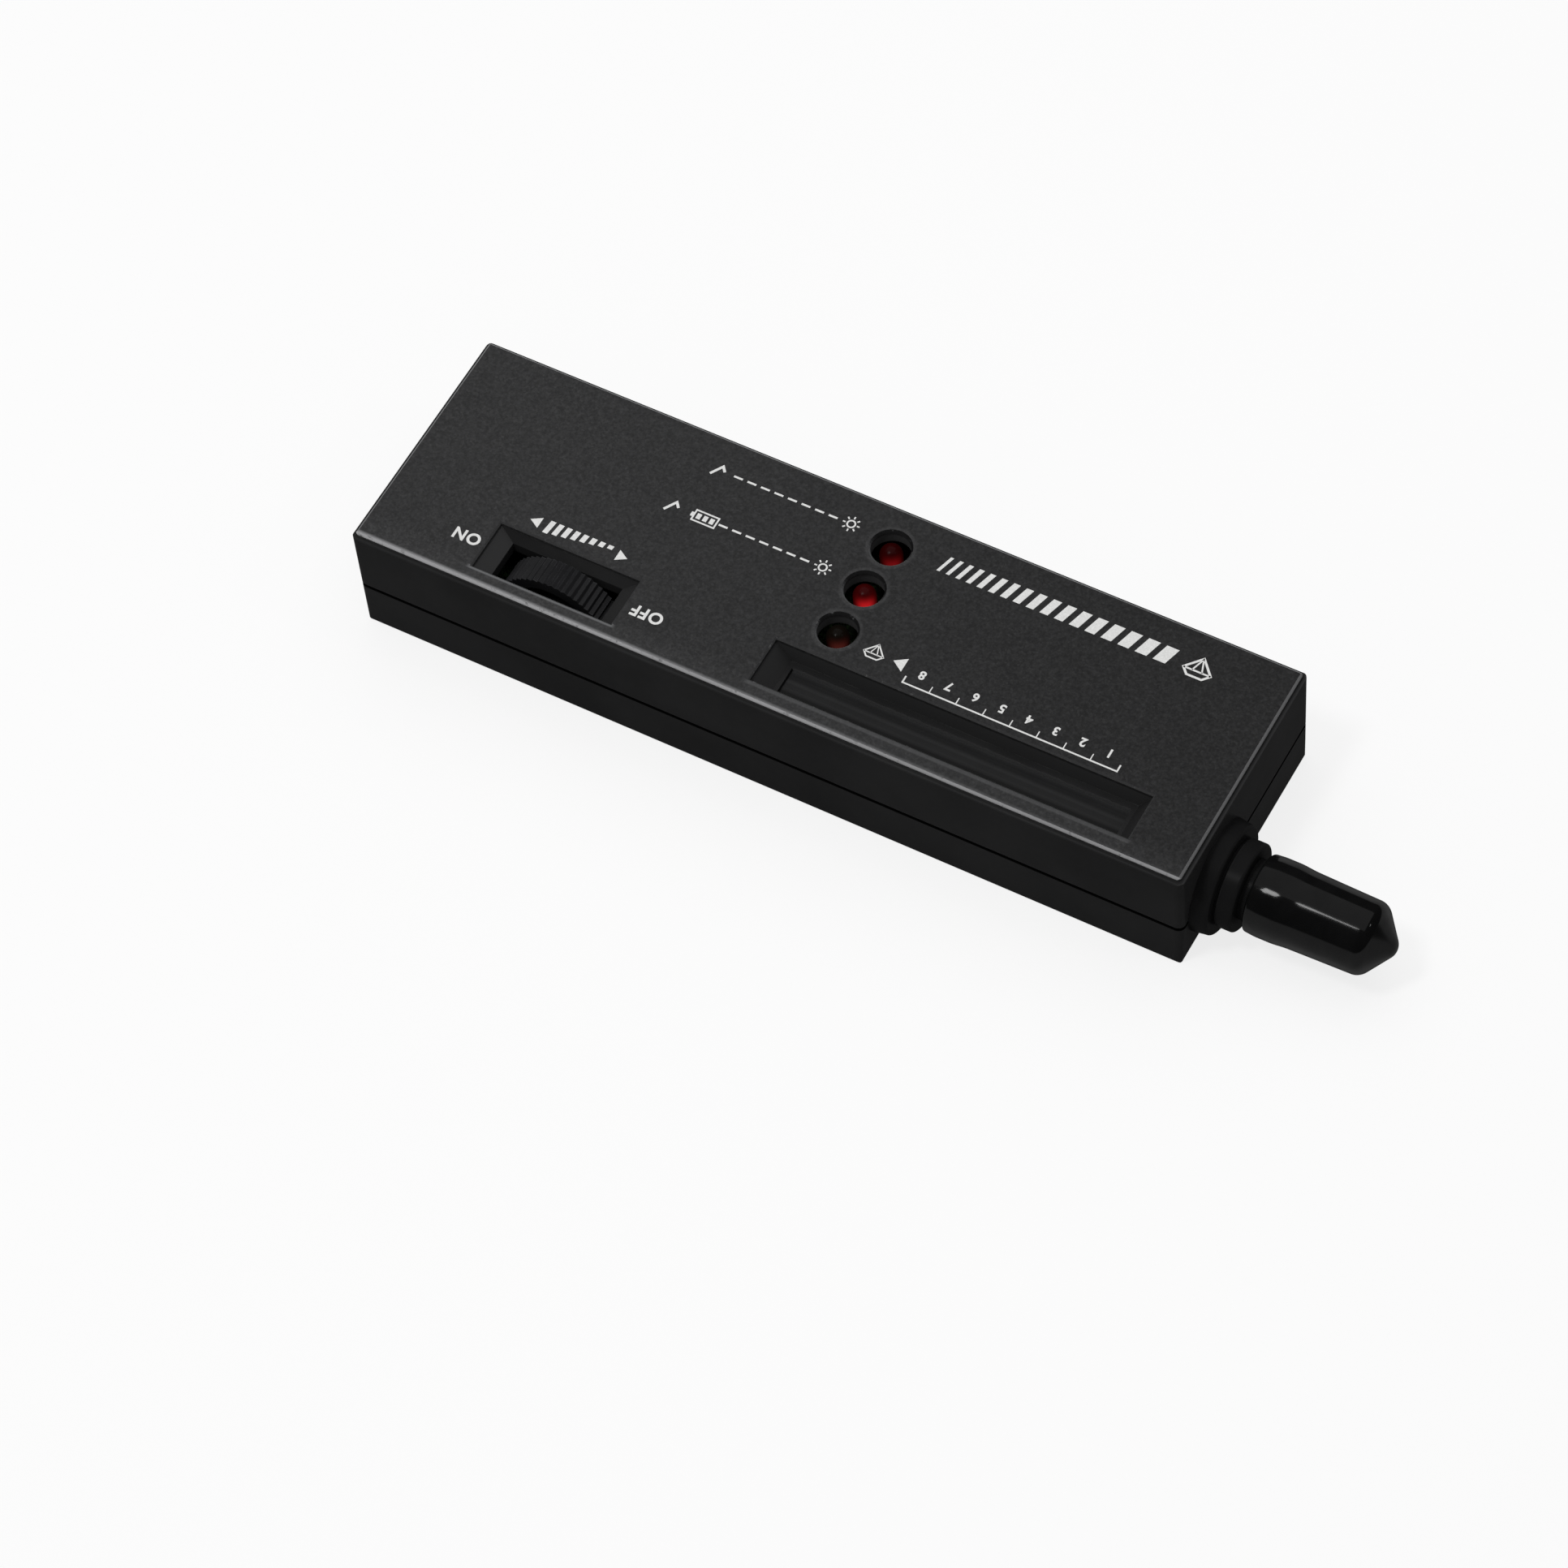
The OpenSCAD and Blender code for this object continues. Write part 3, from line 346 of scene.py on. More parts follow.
def make_metal_flake():
    """Fine bright flakes in a dark lacquer."""
    group, given, out = new_group("Metal flake", {"Flakes": 3000.0}, ["Sparkle", "Height"])
    where = object_place(group)
    cells = add(group, "TexVoronoi", {"Vector": where, "Scale": given["Flakes"]}, feature="F1")
    pick = add(group, "SeparateColor", {"Color": cells.outputs["Color"]}).outputs["Red"]
    glints = times(group, calc(group, "POWER", pick, 3.0), 0.45)
    fine = speckle(group, scale=times(group, given["Flakes"], 0.55), detail=3.0, roughness=0.7)
    feed(group, out["Sparkle"], calc(group, "ADD", glints, ramp(group, fine, 0.3, 0.72, 0.0, 0.6)))
    feed(group, out["Height"], fine)


def make_smudges():
    """Slow, streaky patches where hands and dust change the gloss."""
    group, given, out = new_group("Smudges", {"Size": 12 * MM}, ["Mask"])
    scale = calc(group, "DIVIDE", 1.0, given["Size"])
    patches = speckle(group, scale=scale, detail=6.0, roughness=0.62, distortion=0.9)
    feed(group, out["Mask"], ramp(group, patches, 0.34, 0.7))


def make_turned_lines():
    """Fine rings that a lathe or a die leaves along X."""
    group, given, out = new_group("Turned lines", {"Lines": 9000.0}, ["Height", "Streak"])
    inputs = {"W": place_of(group)[0], "Scale": given["Lines"], "Detail": 2.0, "Roughness": 0.7}
    rings = add(group, "TexNoise", inputs, noise_dimensions="1D").outputs["Fac"]
    feed(group, out["Height"], rings)
    feed(group, out["Streak"], ramp(group, rings, 0.35, 0.65))


GROUPS = (make_moulded_grain, make_edge_wear, make_metal_flake, make_smudges, make_turned_lines)


def start_material(name, colour, roughness, **sockets):
    """New material with a Principled shader. A constant socket's name has _ for each space."""
    made = bpy.data.materials.new(name)
    made.use_nodes = True
    made.diffuse_color = (*colour, 1.0)
    tree = made.node_tree
    shader = tree.nodes["Principled BSDF"].inputs
    shader["Base Color"].default_value = (*colour, 1.0)
    shader["Roughness"].default_value = roughness
    for key, value in sockets.items():
        shader[key.replace("_", " ")].default_value = value
    return made, tree, shader


def bump(tree, shader, height, depth):
    """Feeds a height, over a depth in metres, into the shader's normal."""
    node = add(tree, "Bump", {"Height": height, "Distance": depth, "Strength": 1.0})
    feed(tree, shader["Normal"], node.outputs["Normal"])


def moulded(name, colour, roughness, grain=3200.0, wear=0.0, touch=None, **sockets):
    """Moulded plastic: grain, drifting tone, uneven gloss, rubbed edges and a touch of the piece's own."""
    made, tree, shader = start_material(name, colour, roughness, **sockets)
    texture = place_group(tree, "Moulded grain", {"Grain": grain})
    smudge = place_group(tree, "Smudges")["Mask"]
    base = mix_colour(tree, texture["Tone"], tinted(colour, 0.86), tinted(colour, 1.16))
    if wear:
        paler_patch = place_group(tree, "Edge wear", {"Amount": wear})["Mask"]
        base = mix_colour(tree, paler_patch, base, tinted(colour, 3.2))
    if touch:
        base = touch(tree, base)
    feed(tree, shader["Base Color"], base)
    feed(tree, shader["Roughness"], mix_value(tree, smudge, roughness + 0.06, roughness - 0.07))
    bump(tree, shader, texture["Height"], 0.006 * MM)
    return made


def metal(name, colour, roughness, lines=9000.0):
    """Plated or turned metal with fine rings and stained patches."""
    made, tree, shader = start_material(name, colour, roughness, Metallic=1.0)
    rings = place_group(tree, "Turned lines", {"Lines": lines})
    stain = place_group(tree, "Smudges", {"Size": 6 * MM})["Mask"]
    feed(tree, shader["Base Color"], mix_colour(tree, stain, colour, tinted(colour, 0.82)))
    feed(tree, shader["Roughness"], mix_value(tree, rings["Streak"], roughness * 0.8, roughness * 1.4))
    bump(tree, shader, rings["Height"], 0.001 * MM)
    return made


def paint(name, made):
    """Puts a material on one CAD node."""
    mesh = frame["nodes"][name].data
    mesh.materials.clear()
    mesh.materials.append(made)


def dress(slot, made):
    """Puts a material on every CAD node of a slot."""
    for name in SLOT_NODES[slot]:
        paint(name, made)


# Mesh helpers


def smooth_step(t):
    """Eases from 0 to 1."""
    t = min(1.0, max(0.0, t))
    return t * t * (3.0 - 2.0 * t)


def arc(centre, radius, first, last, steps):
    """Points of distance and radius on an arc. An angle of 0 points outwards, and a right angle ahead."""
    turns = [first + (last - first) * i / steps for i in range(steps + 1)]
    return [(centre.x + radius * math.sin(a), centre.y + radius * math.cos(a)) for a in turns]


def new_object(name, data):
    """Object that is linked into the scene."""
    made = bpy.data.objects.new(name, data)
    bpy.context.scene.collection.objects.link(made)
    return made


def mesh_of(name, bm, made):
    """Mesh with one material, from a bmesh that is used up."""
    mesh = bpy.data.meshes.new(name)
    bm.to_mesh(mesh)
    bm.free()
    mesh.materials.append(made)
    return mesh


def add_piece(name, bm, made, body, smooth_angle=None):
    """Turns a bmesh into a piece that rides on a body."""
    bmesh.ops.recalc_face_normals(bm, faces=bm.faces)
    mesh = mesh_of(name, bm, made)
    if smooth_angle is not None:
        mesh.shade_smooth()
        mesh.set_sharp_from_angle(angle=smooth_angle)
    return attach(new_object(name, mesh), body)


class Print:
    """Flat ink shapes on the plate. Points are along the reading direction and up the letters, in metres,
    from a start that lies ahead of the plate's middle."""

    SINK = 0.01 * MM
    START = 13.8 * MM
    SHARPEST_MITRE = 0.35
    LETTER_WEIGHT = 0.03
    LETTER_SPACING = 1.12

    def __init__(self, ink_height):
        self.bm = bmesh.new()
        self.start = self.START + middle_of("faceplate").x
        self.low = PLATE_HIGH.z - self.SINK
        self.high = PLATE_HIGH.z + ink_height

    def spot(self, point, z):
        """Place on the plate: letters read towards -X, with their tops towards -Y."""
        return self.start - point[0], -point[1], z

    def corner(self, point, z):
        """Vertex on the plate."""
        return self.bm.verts.new(self.spot(point, z))

    def patch(self, outline):
        """Closed flat shape."""
        low = [self.corner(p, self.low) for p in outline]
        high = [self.corner(p, self.high) for p in outline]
        self.bm.faces.new(high)
        self.bm.faces.new(low[::-1])
        for i in range(len(outline)):
            j = (i + 1) % len(outline)
            self.bm.faces.new((low[i], low[j], high[j], high[i]))

    def bar(self, left, low, width, height, lean=0.0):
        """Upright or leaning bar, from its lower left corner."""
        high = low + height
        self.patch([(left, low), (left + width, low), (left + width + lean, high), (left + lean, high)])

    def line(self, points, width, closed=False):
        """Band of even width along points, mitred at its corners."""
        points = [Vector(p) for p in points]
        count = len(points)
        sides = []
        for i, p in enumerate(points):
            runs = []
            if closed or i > 0:
                runs.append((p - points[i - 1]).normalized())
            if closed or i < count - 1:
                runs.append((points[(i + 1) % count] - p).normalized())
            normals = [Vector((-run.y, run.x)) for run in runs]
            mitre = sum(normals, Vector((0.0, 0.0))).normalized()
            reach = width / 2 / max(self.SHARPEST_MITRE, mitre.dot(normals[0]))
            sides.append((p + mitre * reach, p - mitre * reach))
        rings = [[self.corner(q, z) for q in pair for z in (self.low, self.high)] for pair in sides]
        for i in range(count if closed else count - 1):
            a, b = rings[i], rings[(i + 1) % count]
            for first, second in ((0, 1), (1, 3), (3, 2), (2, 0)):
                self.bm.faces.new((a[first], b[first], b[second], a[second]))
        if not closed:
            for ring in (rings[0], rings[-1]):
                self.bm.faces.new((ring[0], ring[1], ring[3], ring[2]))

    def circle(self, centre, radius, width, steps=24):
        """Closed ring."""
        turn = 2 * math.pi / steps
        self.line([(centre[0] + radius * math.cos(i * turn), centre[1] + radius * math.sin(i * turn))
                   for i in range(steps)], width, closed=True)

    def word(self, body, centre, height):
        """Plain lettering of a given height about a centre."""
        curve = bpy.data.curves.new("lettering", "FONT")
        curve.body = body
        curve.align_x = "CENTER"
        curve.offset = self.LETTER_WEIGHT
        curve.space_character = self.LETTER_SPACING
        curve.extrude = 0.5
        writer = bpy.data.objects.new("lettering", curve)
        mesh = bpy.data.meshes.new_from_object(writer)
        tops = [v.co.y for v in mesh.vertices]
        size = height / (max(tops) - min(tops))
        middle = (max(tops) + min(tops)) / 2
        for v in mesh.vertices:
            flat = centre[0] + v.co.x * size, centre[1] + (v.co.y - middle) * size
            v.co = self.spot(flat, self.high if v.co.z > 0 else self.low)
        self.bm.from_mesh(mesh)
        bpy.data.objects.remove(writer)
        bpy.data.curves.remove(curve)
        bpy.data.meshes.remove(mesh)

    def gem(self, centre, width, line):
        """Side view of a cut stone: table, girdle, culet and the main facets."""
        half, crown, depth = 0.5 * width, 0.24 * width, 0.56 * width
        table, facet, facet_depth = 0.55 * half, 0.36 * half, 0.94 * depth
        def at(u, v):
            return centre[0] + u, centre[1] + v + (depth - crown) / 2
        outline = [at(-half, 0), at(-table, crown), at(table, crown), at(half, 0), at(0, -depth)]
        self.line(outline, line, closed=True)
        self.line([at(-half, 0), at(half, 0)], 0.8 * line)
        self.line([at(-facet, 0), at(0, -facet_depth), at(facet, 0)], 0.7 * line)

    def tick_mark(self, centre, height, line):
        """Check mark."""
        shape = ((-0.42, 0.0), (-0.1, -0.38), (0.46, 0.5))
        self.line([Vector(centre) + height * Vector(p) for p in shape], line)

    def finish(self, name, made):
        """Ends the print as one piece on the case."""
        bmesh.ops.remove_doubles(self.bm, verts=self.bm.verts, dist=TOUCHING)
        return add_piece(name, self.bm, made, "case")


def turned(profile, centre, segments):
    """Closed solid of revolution about X from points of distance, radius and unevenness."""
    waves_per_metre = 160.0
    bm = bmesh.new()
    rings = []
    for x, r, wobble in profile:
        if r < TOUCHING:
            rings.append([bm.verts.new((x, centre.y, centre.z))])
            continue
        ring = []
        for i in range(segments):
            a = 2 * math.pi * i / segments
            spot = Vector((x, r * math.cos(a), r * math.sin(a)))
            away = r + wobble * noise.noise(spot * waves_per_metre)
            ring.append(bm.verts.new((x, centre.y + away * math.cos(a), centre.z + away * math.sin(a))))
        rings.append(ring)
    for first, second in zip(rings, rings[1:]):
        for i in range(segments):
            j = (i + 1) % segments
            corners = [ring[k % len(ring)] for ring, k in ((first, i), (first, j), (second, j), (second, i))]
            bm.faces.new(list(dict.fromkeys(corners)))
    return bm


# Operators


class TesterOperator:
    """What the operators share."""

    bl_options = {"REGISTER", "UNDO"}

    def execute(self, context):
        self.make(context.scene.tester)
        return {"FINISHED"}


class TESTER_OT_groups(TesterOperator, bpy.types.Operator):
    """Build the shader groups that the finishes share"""

    bl_idname = "tester.groups"
    bl_label = "Shared Effects"

    def make(self, looks):
        for build in GROUPS:
            build()


class TESTER_OT_case(TesterOperator, bpy.types.Operator):
    """Finish the shells, the door, the collar and the screws"""

    bl_idname = "tester.case"
    bl_label = "Housing"

    def make(self, looks):
        tones = looks.finishes
        matt = {"Specular_IOR_Level": 0.0, "Coat_Weight": 0.03, "Coat_Roughness": 0.3}
        # painted shade in the groove, and painted light inside the wells and lamp holes
        def painted_light_and_shade(tree, base):
            return self.paint_well_light(tree, self.paint_groove_shade(tree, base, tones), tones)
        housing = moulded("Housing plastic", tones.case_plastic, 0.5, wear=0.4, touch=painted_light_and_shade, **matt)
        dress("case_plastic", housing)
        paint("nose_collar", moulded("Collar plastic", tones.collar_plastic, 0.5, wear=0.5, **matt))
        dress("screw_steel", metal("Screw steel", SLOT_COLOURS["screw_steel"], 0.32))

    def paint_groove_shade(self, tree, base, tones):
        """Painted shade: darkens the groove below the parting line."""
        z = place_of(tree)[2]
        ledge = PARTING_Z - tones.groove
        groove = band(tree, z, (ledge - 0.1 * MM, ledge - 0.02 * MM),
                      (PARTING_Z + 0.05 * MM, PARTING_Z - 0.02 * MM))
        return mix_colour(tree, groove, base, tinted(tones.case_plastic, 0.12))

    def paint_well_light(self, tree, base, tones):
        """Painted light: lightens the wells' tail slopes, the display well's far side and the lamp holes'
        walls.
        """
        x, y = place_of(tree)[:2]
        facing_x, facing_y, facing_z = facing_of(tree)
        slopes = times(tree, ramp(tree, facing_x, 0.2, 0.4), ramp(tree, facing_z, 0.3, 0.5))
        display = middle_of("bar_window")
        well_end = display.x - 33 * MM
        far_side = times(tree, ramp(tree, facing_y, -0.5, -0.8), ramp(tree, x, well_end, well_end + 1 * MM))
        def far_strip(start, end, towards_tail=0.2 * MM):
            """Part of the well's far side, between two distances from the display's middle line."""
            start, end = display.y + start, display.y + end
            return times(tree, far_side, band(tree, y, (start, start + towards_tail), (end, end - towards_tail)))
        wall_above_ledge = far_strip(3.4 * MM, 4.4 * MM)
        step_to_window = far_strip(2.5 * MM, 3.3 * MM)
        rim = tones.lamp_rim
        holes = ramp(tree, away_from_lamps(tree), rim + 0.15 * MM, rim - 0.05 * MM)
        # each place is painted lighter, as light that reaches into it
        for place, tint in ((slopes, 1.6), (wall_above_ledge, 2.4), (step_to_window, 5.0), (holes, 3.2)):
            base = mix_colour(tree, place, base, tinted(tones.case_plastic, tint))
        return base


class TESTER_OT_plate(TesterOperator, bpy.types.Operator):
    """Finish the faceplate: flaked lacquer, bare outer edge, and painted light and shade on the cut rims"""

    bl_idname = "tester.plate"
    bl_label = "Faceplate"

    def make(self, looks):
        tones = looks.finishes
        made, tree, shader = start_material("Plate lacquer", tones.plate_finish, 0.5, Specular_IOR_Level=0.05)
        flake = place_group(tree, "Metal flake")
        smudge = place_group(tree, "Smudges", {"Size": 20 * MM})["Mask"]
        # the lacquer is painted lighter towards the tail
        towards_tail = ramp(tree, place_of(tree)[0], PLATE_HIGH.x, PLATE_LOW.x)
        strip, painted_brink_highlight, painted_rim_shade = self.paint_slot_sides(tree)
        lacquer = self.make_lacquer(tree, tones, flake["Sparkle"], towards_tail, strip, painted_brink_highlight)
        edge = self.make_edge(tree, tones, towards_tail, painted_rim_shade)
        bevel = band(tree, facing_of(tree)[2], (0.3, 0.5), (0.97, 0.9))
        feed(tree, shader["Base Color"], mix_colour(tree, bevel, lacquer, edge))
        feed(tree, shader["Metallic"], times(tree, bevel, 0.45))
        feed(tree, shader["Roughness"], mix_value(tree, smudge, 0.56, 0.44))
        bump(tree, shader, flake["Height"], 0.008 * MM)
        dress("plate_finish", made)

    def paint_slot_sides(self, tree):
        """Masks at the slots' near sides: a paler strip, a painted highlight along its brink and painted
        shade on the bar slot's rim.
        """
        x, y = place_of(tree)[:2]
        end_fade, strip_fade, strip_share, rim_depth = 1.0 * MM, 0.3 * MM, 0.22, 2.0 * MM
        brink_outside, brink_full, brink_inside = 0.7 * MM, 0.4 * MM, 0.1 * MM
        strip = painted_brink_highlight = painted_rim_shade = 0.0
        # half the slot's size, the gap to its strip, how bright its painted brink highlight is and how dark
        # its painted rim shade is
        for node, half, gap, brightness, rim_shade_amount in (
                ("thumbwheel", Vector((11.9, 4.35)) * MM, 0.0, 1.0, 0.0),
                ("bar_window", Vector((30.85, 4.0)) * MM, 0.32 * MM, 0.3, 0.95)):
            middle = middle_of(node)
            start, end, near = middle.x - half.x, middle.x + half.x, middle.y - half.y - gap
            beside = band(tree, x, (start - end_fade, start), (end + end_fade, end))
            paler_patch = ramp(tree, y, near, near - strip_fade, 0.0, strip_share)
            line = band(tree, y, (near - brink_outside, near - brink_full, 0.0, brightness),
                        (near + brink_inside, near))
            rim = ramp(tree, y, middle.y, middle.y - rim_depth, 0.0, rim_shade_amount)
            strip = largest(tree, strip, times(tree, beside, paler_patch))
            painted_brink_highlight = largest(tree, painted_brink_highlight, times(tree, beside, line))
            painted_rim_shade = largest(tree, painted_rim_shade, times(tree, beside, rim))
        return strip, painted_brink_highlight, painted_rim_shade

    def make_lacquer(self, tree, tones, sparkle, towards_tail, strip, painted_brink_highlight):
        """Flaked lacquer, paler along the near edge and beside the slots, with a painted highlight round the
        lamp holes.
        """
        y = place_of(tree)[1]
        def flaked(low, high):
            dark, pale = tinted(tones.plate_finish, low), tinted(tones.plate_finish, high)
            return mix_colour(tree, sparkle, dark, pale)
        near_edge = ramp(tree, y, PLATE_LOW.y + 4.5 * MM, PLATE_LOW.y + 1.5 * MM, 0.0, 0.15)
        rim = tones.lamp_rim
        # painted highlight: a pale ring round each lamp hole, where its rim would catch the light
        ring = band(tree, away_from_lamps(tree), (rim - 0.05 * MM, rim + 0.1 * MM),
                    (rim + 0.65 * MM, rim + 0.3 * MM, 0.0, 0.3))
        paler_patch = largest(tree, near_edge, strip, ring)
        lacquer = mix_colour(tree, towards_tail, flaked(0.5, 1.05), flaked(0.8, 1.5))
        lacquer = mix_colour(tree, paler_patch, lacquer, flaked(1.7, 2.9))
        # edge wear, strongest in the paler patches, and the painted brink highlight take the rims' colour
        wear_and_highlight = times(tree, place_group(tree, "Edge wear")["Mask"], mix_value(tree, paler_patch, 0.15, 2.35))
        lacquer = mix_colour(tree, largest(tree, wear_and_highlight, painted_brink_highlight), lacquer, tones.rim_wear_and_highlight)
        # a narrow margin on top, beside the bare near edge, takes the bare edge's colour, most of all at the
        # tail
        margin = times(tree, ramp(tree, y, PLATE_LOW.y + 0.95 * MM, PLATE_LOW.y + 0.25 * MM),
                       mix_value(tree, towards_tail, 0.04, 0.52), ramp(tree, facing_of(tree)[2], 0.9, 0.97))
        return mix_colour(tree, margin, lacquer, tones.bare_edge)

    def make_edge(self, tree, tones, towards_tail, painted_rim_shade):
        """Bevels of the plate: bare on the outside, with painted highlight and painted shade on the rims of
        the slots and holes, and nicked.
        """
        x, y, z = place_of(tree)
        facing_y = facing_of(tree)[1]
        # painted highlight on the near rims of the slots and holes, which face +Y
        painted_rim_highlight = calc(tree, "SUBTRACT", ramp(tree, facing_y, 0.0, 0.5), painted_rim_shade)
        edge = mix_colour(tree, painted_rim_highlight, tinted(tones.plate_finish, 1.8), tones.rim_wear_and_highlight)
        # painted shade: the far rims of the lamp holes are darkened, so that the holes look wider
        at_lamp = ramp(tree, away_from_lamps(tree), tones.lamp_rim + 0.15 * MM, tones.lamp_rim + 0.05 * MM)
        painted_far_rim_shade = times(tree, at_lamp, ramp(tree, facing_y, 0.2, -0.2))
        edge = mix_colour(tree, painted_far_rim_shade, edge, tinted(tones.plate_finish, 0.4))
        # the bare outer edge is bare metal; how much of it shows is painted light, most on the near side,
        # then at the probe, the tail and the far side
        reach, bare = 0.6 * MM, 0.0
        for along, side, inward, amount in ((y, PLATE_LOW.y, 1, 1.0), (x, PLATE_HIGH.x, -1, 0.4),
                                            (x, PLATE_LOW.x, 1, 0.25), (y, PLATE_HIGH.y, -1, 0.15)):
            there = ramp(tree, along, side + inward * reach, side + inward * reach / 2, 0.0, amount)
            bare = largest(tree, bare, there)
        # it is painted brightest at the tail and along its top
        height = ramp(tree, z, PLATE_HIGH.z - 0.45 * MM, PLATE_HIGH.z - 0.15 * MM, 0.45, 1.0)
        bare = times(tree, bare, mix_value(tree, towards_tail, 0.75, 1.05), height)
        edge = mix_colour(tree, bare, edge, tones.bare_edge)
        nicks = ramp(tree, speckle(tree, scale=700.0, detail=5.0, roughness=0.7), 0.56, 0.7)
        return mix_colour(tree, nicks, edge, tinted(tones.bare_edge, 0.35))


class TESTER_OT_marks(TesterOperator, bpy.types.Operator):
    """Print the numbered scale, the switch marks and the signs beside the lamps"""

    bl_idname = "tester.marks"
    bl_label = "Printed Marks"

    def make(self, looks):
        marks = looks.marks
        self.ink = self.make_ink(looks.finishes.ink)
        self.print_scale(marks)
        self.print_switch(marks)
        self.print_lamp_signs(marks)
        self.print_stripes(marks)

    def make_ink(self, colour):
        """Ink that lies on the plate's grain."""
        made, tree, shader = start_material("Printing ink", colour, 0.6, Specular_IOR_Level=0.25)
        speck = place_group(tree, "Metal flake", {"Flakes": 5200.0})
        feed(tree, shader["Base Color"], mix_colour(tree, speck["Sparkle"], tinted(colour, 0.8), colour))
        bump(tree, shader, speck["Height"], 0.004 * MM)
        return made

    def print_scale(self, marks):
        """Line with ticks and digits, then an arrow and a cut stone at the high end."""
        start, pitch, steps = marks.scale_start, marks.scale_pitch, marks.scale_steps
        line, row = marks.line_width, -marks.scale_line
        digit_along, digit_row = 0.52, row - 2.3 * MM
        sheet = Print(marks.ink_height)
        sheet.line([(-start - line / 2, row), (steps * pitch - start + line / 2, row)], line)
        for i in range(steps + 1):
            # the end ticks stay just inside the line's ends, so that the two share no edge
            wide = 0.97 * line if i in (0, steps) else marks.tick_width
            tick = i * pitch - start
            sheet.line([(tick, row - line / 2), (tick, row - marks.tick_length)], wide)
        for i in range(steps):
            sheet.word(str(i + 1), ((i + digit_along) * pitch - start, digit_row), marks.digit_height)
        arrow, arrow_shape = Vector((-1.5, 4.65)) * MM, ((-0.95, -1.25), (0.95, 0.0), (-0.95, 1.25))
        sheet.patch([arrow + Vector(p) * MM for p in arrow_shape])
        sheet.gem(Vector((2.6, 4.4)) * MM, width=3.2 * MM, line=0.24 * MM)
        sheet.finish("print_scale", self.ink)

    def print_switch(self, marks):
        """The switch's two words, and bars between two arrows that rise from OFF to ON."""
        sheet = Print(marks.ink_height)
        for body, centre in (("OFF", (35.75, 13.6)), ("ON", (66.9, 13.1))):
            sheet.word(body, Vector(centre) * MM, marks.word_height)
        row, count, first, pitch, wide = 5.0 * MM, 8, 46.2 * MM, 1.42 * MM, 0.85 * MM
        lowest, rise, lean = 0.7 * MM, 1.7 * MM, 0.12
        for i in range(count):
            tall = lowest + rise * i / (count - 1)
            sheet.bar(first + i * pitch, row, wide, tall, lean * tall)
        arrow_row, arrow_length, arrow_half = row + 1.1 * MM, 1.7 * MM, 1.0 * MM
        for tip, side in ((43.4 * MM, 1), (60.0 * MM, -1)):
            base = tip + side * arrow_length
            sheet.patch([(tip, arrow_row), (base, arrow_row - arrow_half), (base, arrow_row + arrow_half)])
        sheet.finish("print_switch", self.ink)

    def print_lamp_signs(self, marks):
        """Two rows, each of a lit lamp, a dashed line and a tick, with a battery in the second."""
        sheet = Print(marks.ink_height)
        start, thin, dash, gap = 15.6 * MM, 0.26 * MM, 1.5 * MM, 0.8 * MM
        ready_row, battery_row = -14.2 * MM, -5.4 * MM
        # where each row ends, and the room that its last signs take there
        for row, end, room in ((ready_row, 40.0 * MM, 3.4 * MM), (battery_row, 43.0 * MM, 8.2 * MM)):
            self.print_lit_lamp(sheet, Vector((start + 1.1 * MM, row)), thin)
            u = start + 3.4 * MM
            while u + dash < end - room:
                sheet.line([(u, row), (u + dash, row)], 0.34 * MM)
                u += dash + gap
            sheet.tick_mark((end - 0.9 * MM, row), height=2.2 * MM, line=0.42 * MM)
        self.print_cell(sheet, Vector((36.6 * MM, battery_row)), thin)
        sheet.finish("print_lamp_signs", self.ink)

    def print_lit_lamp(self, sheet, centre, line):
        """Lamp sign: a ring with eight rays."""
        ring, ray_start, ray_end = 0.62 * MM, 0.95 * MM, 1.4 * MM
        sheet.circle(centre, ring, line)
        for i in range(8):
            ray = Vector((math.cos(i * math.pi / 4), math.sin(i * math.pi / 4)))
            sheet.line([centre + ray * ray_start, centre + ray * ray_end], 0.9 * line)

    def print_cell(self, sheet, centre, line):
        """Battery sign: a can with its nub and three charge bars."""
        half = Vector((1.9, 0.95)) * MM
        nub_wide, nub_tall, bar_wide, bar_tall, pitch = 0.4 * MM, 0.8 * MM, 0.7 * MM, 1.0 * MM, 1.1 * MM
        signs = ((-1, -1), (1, -1), (1, 1), (-1, 1))
        sheet.line([(centre.x + a * half.x, centre.y + b * half.y) for a, b in signs], line, closed=True)
        sheet.bar(centre.x + half.x + line / 2, centre.y - nub_tall / 2, nub_wide, nub_tall)
        for i in (-1, 0, 1):
            sheet.bar(centre.x + i * pitch - bar_wide / 2, centre.y - bar_tall / 2, bar_wide, bar_tall)

    def print_stripes(self, marks):
        """Plain slanting stripes that thin out, after a cut stone."""
        sheet = Print(marks.ink_height)
        low, tall, lean, gap = -15.4 * MM, 3.0 * MM, 0.9 * MM, 1.02 * MM
        widest, thinning, count = 2.0 * MM, 1.5 * MM, 17
        sheet.gem((-40.9 * MM, low + tall / 2), width=4.4 * MM, line=0.36 * MM)
        u = -37.0 * MM
        for i in range(count):
            wide = widest - thinning * i / (count - 1)
            sheet.bar(u, low, wide, tall, lean)
            u += wide + gap
        sheet.finish("print_stripes", self.ink)


class TESTER_OT_wheel(TesterOperator, bpy.types.Operator):
    """Finish the ridged wheel and the control behind it"""

    bl_idname = "tester.wheel"
    bl_label = "Thumbwheel"

    def make(self, looks):
        colour = looks.finishes.wheel_plastic
        dress("wheel_plastic", moulded("Wheel plastic", colour, 0.42, wear=0.8, Specular_IOR_Level=0.08))
        dress("phenolic", moulded("Phenolic laminate", SLOT_COLOURS["phenolic"], 0.55))


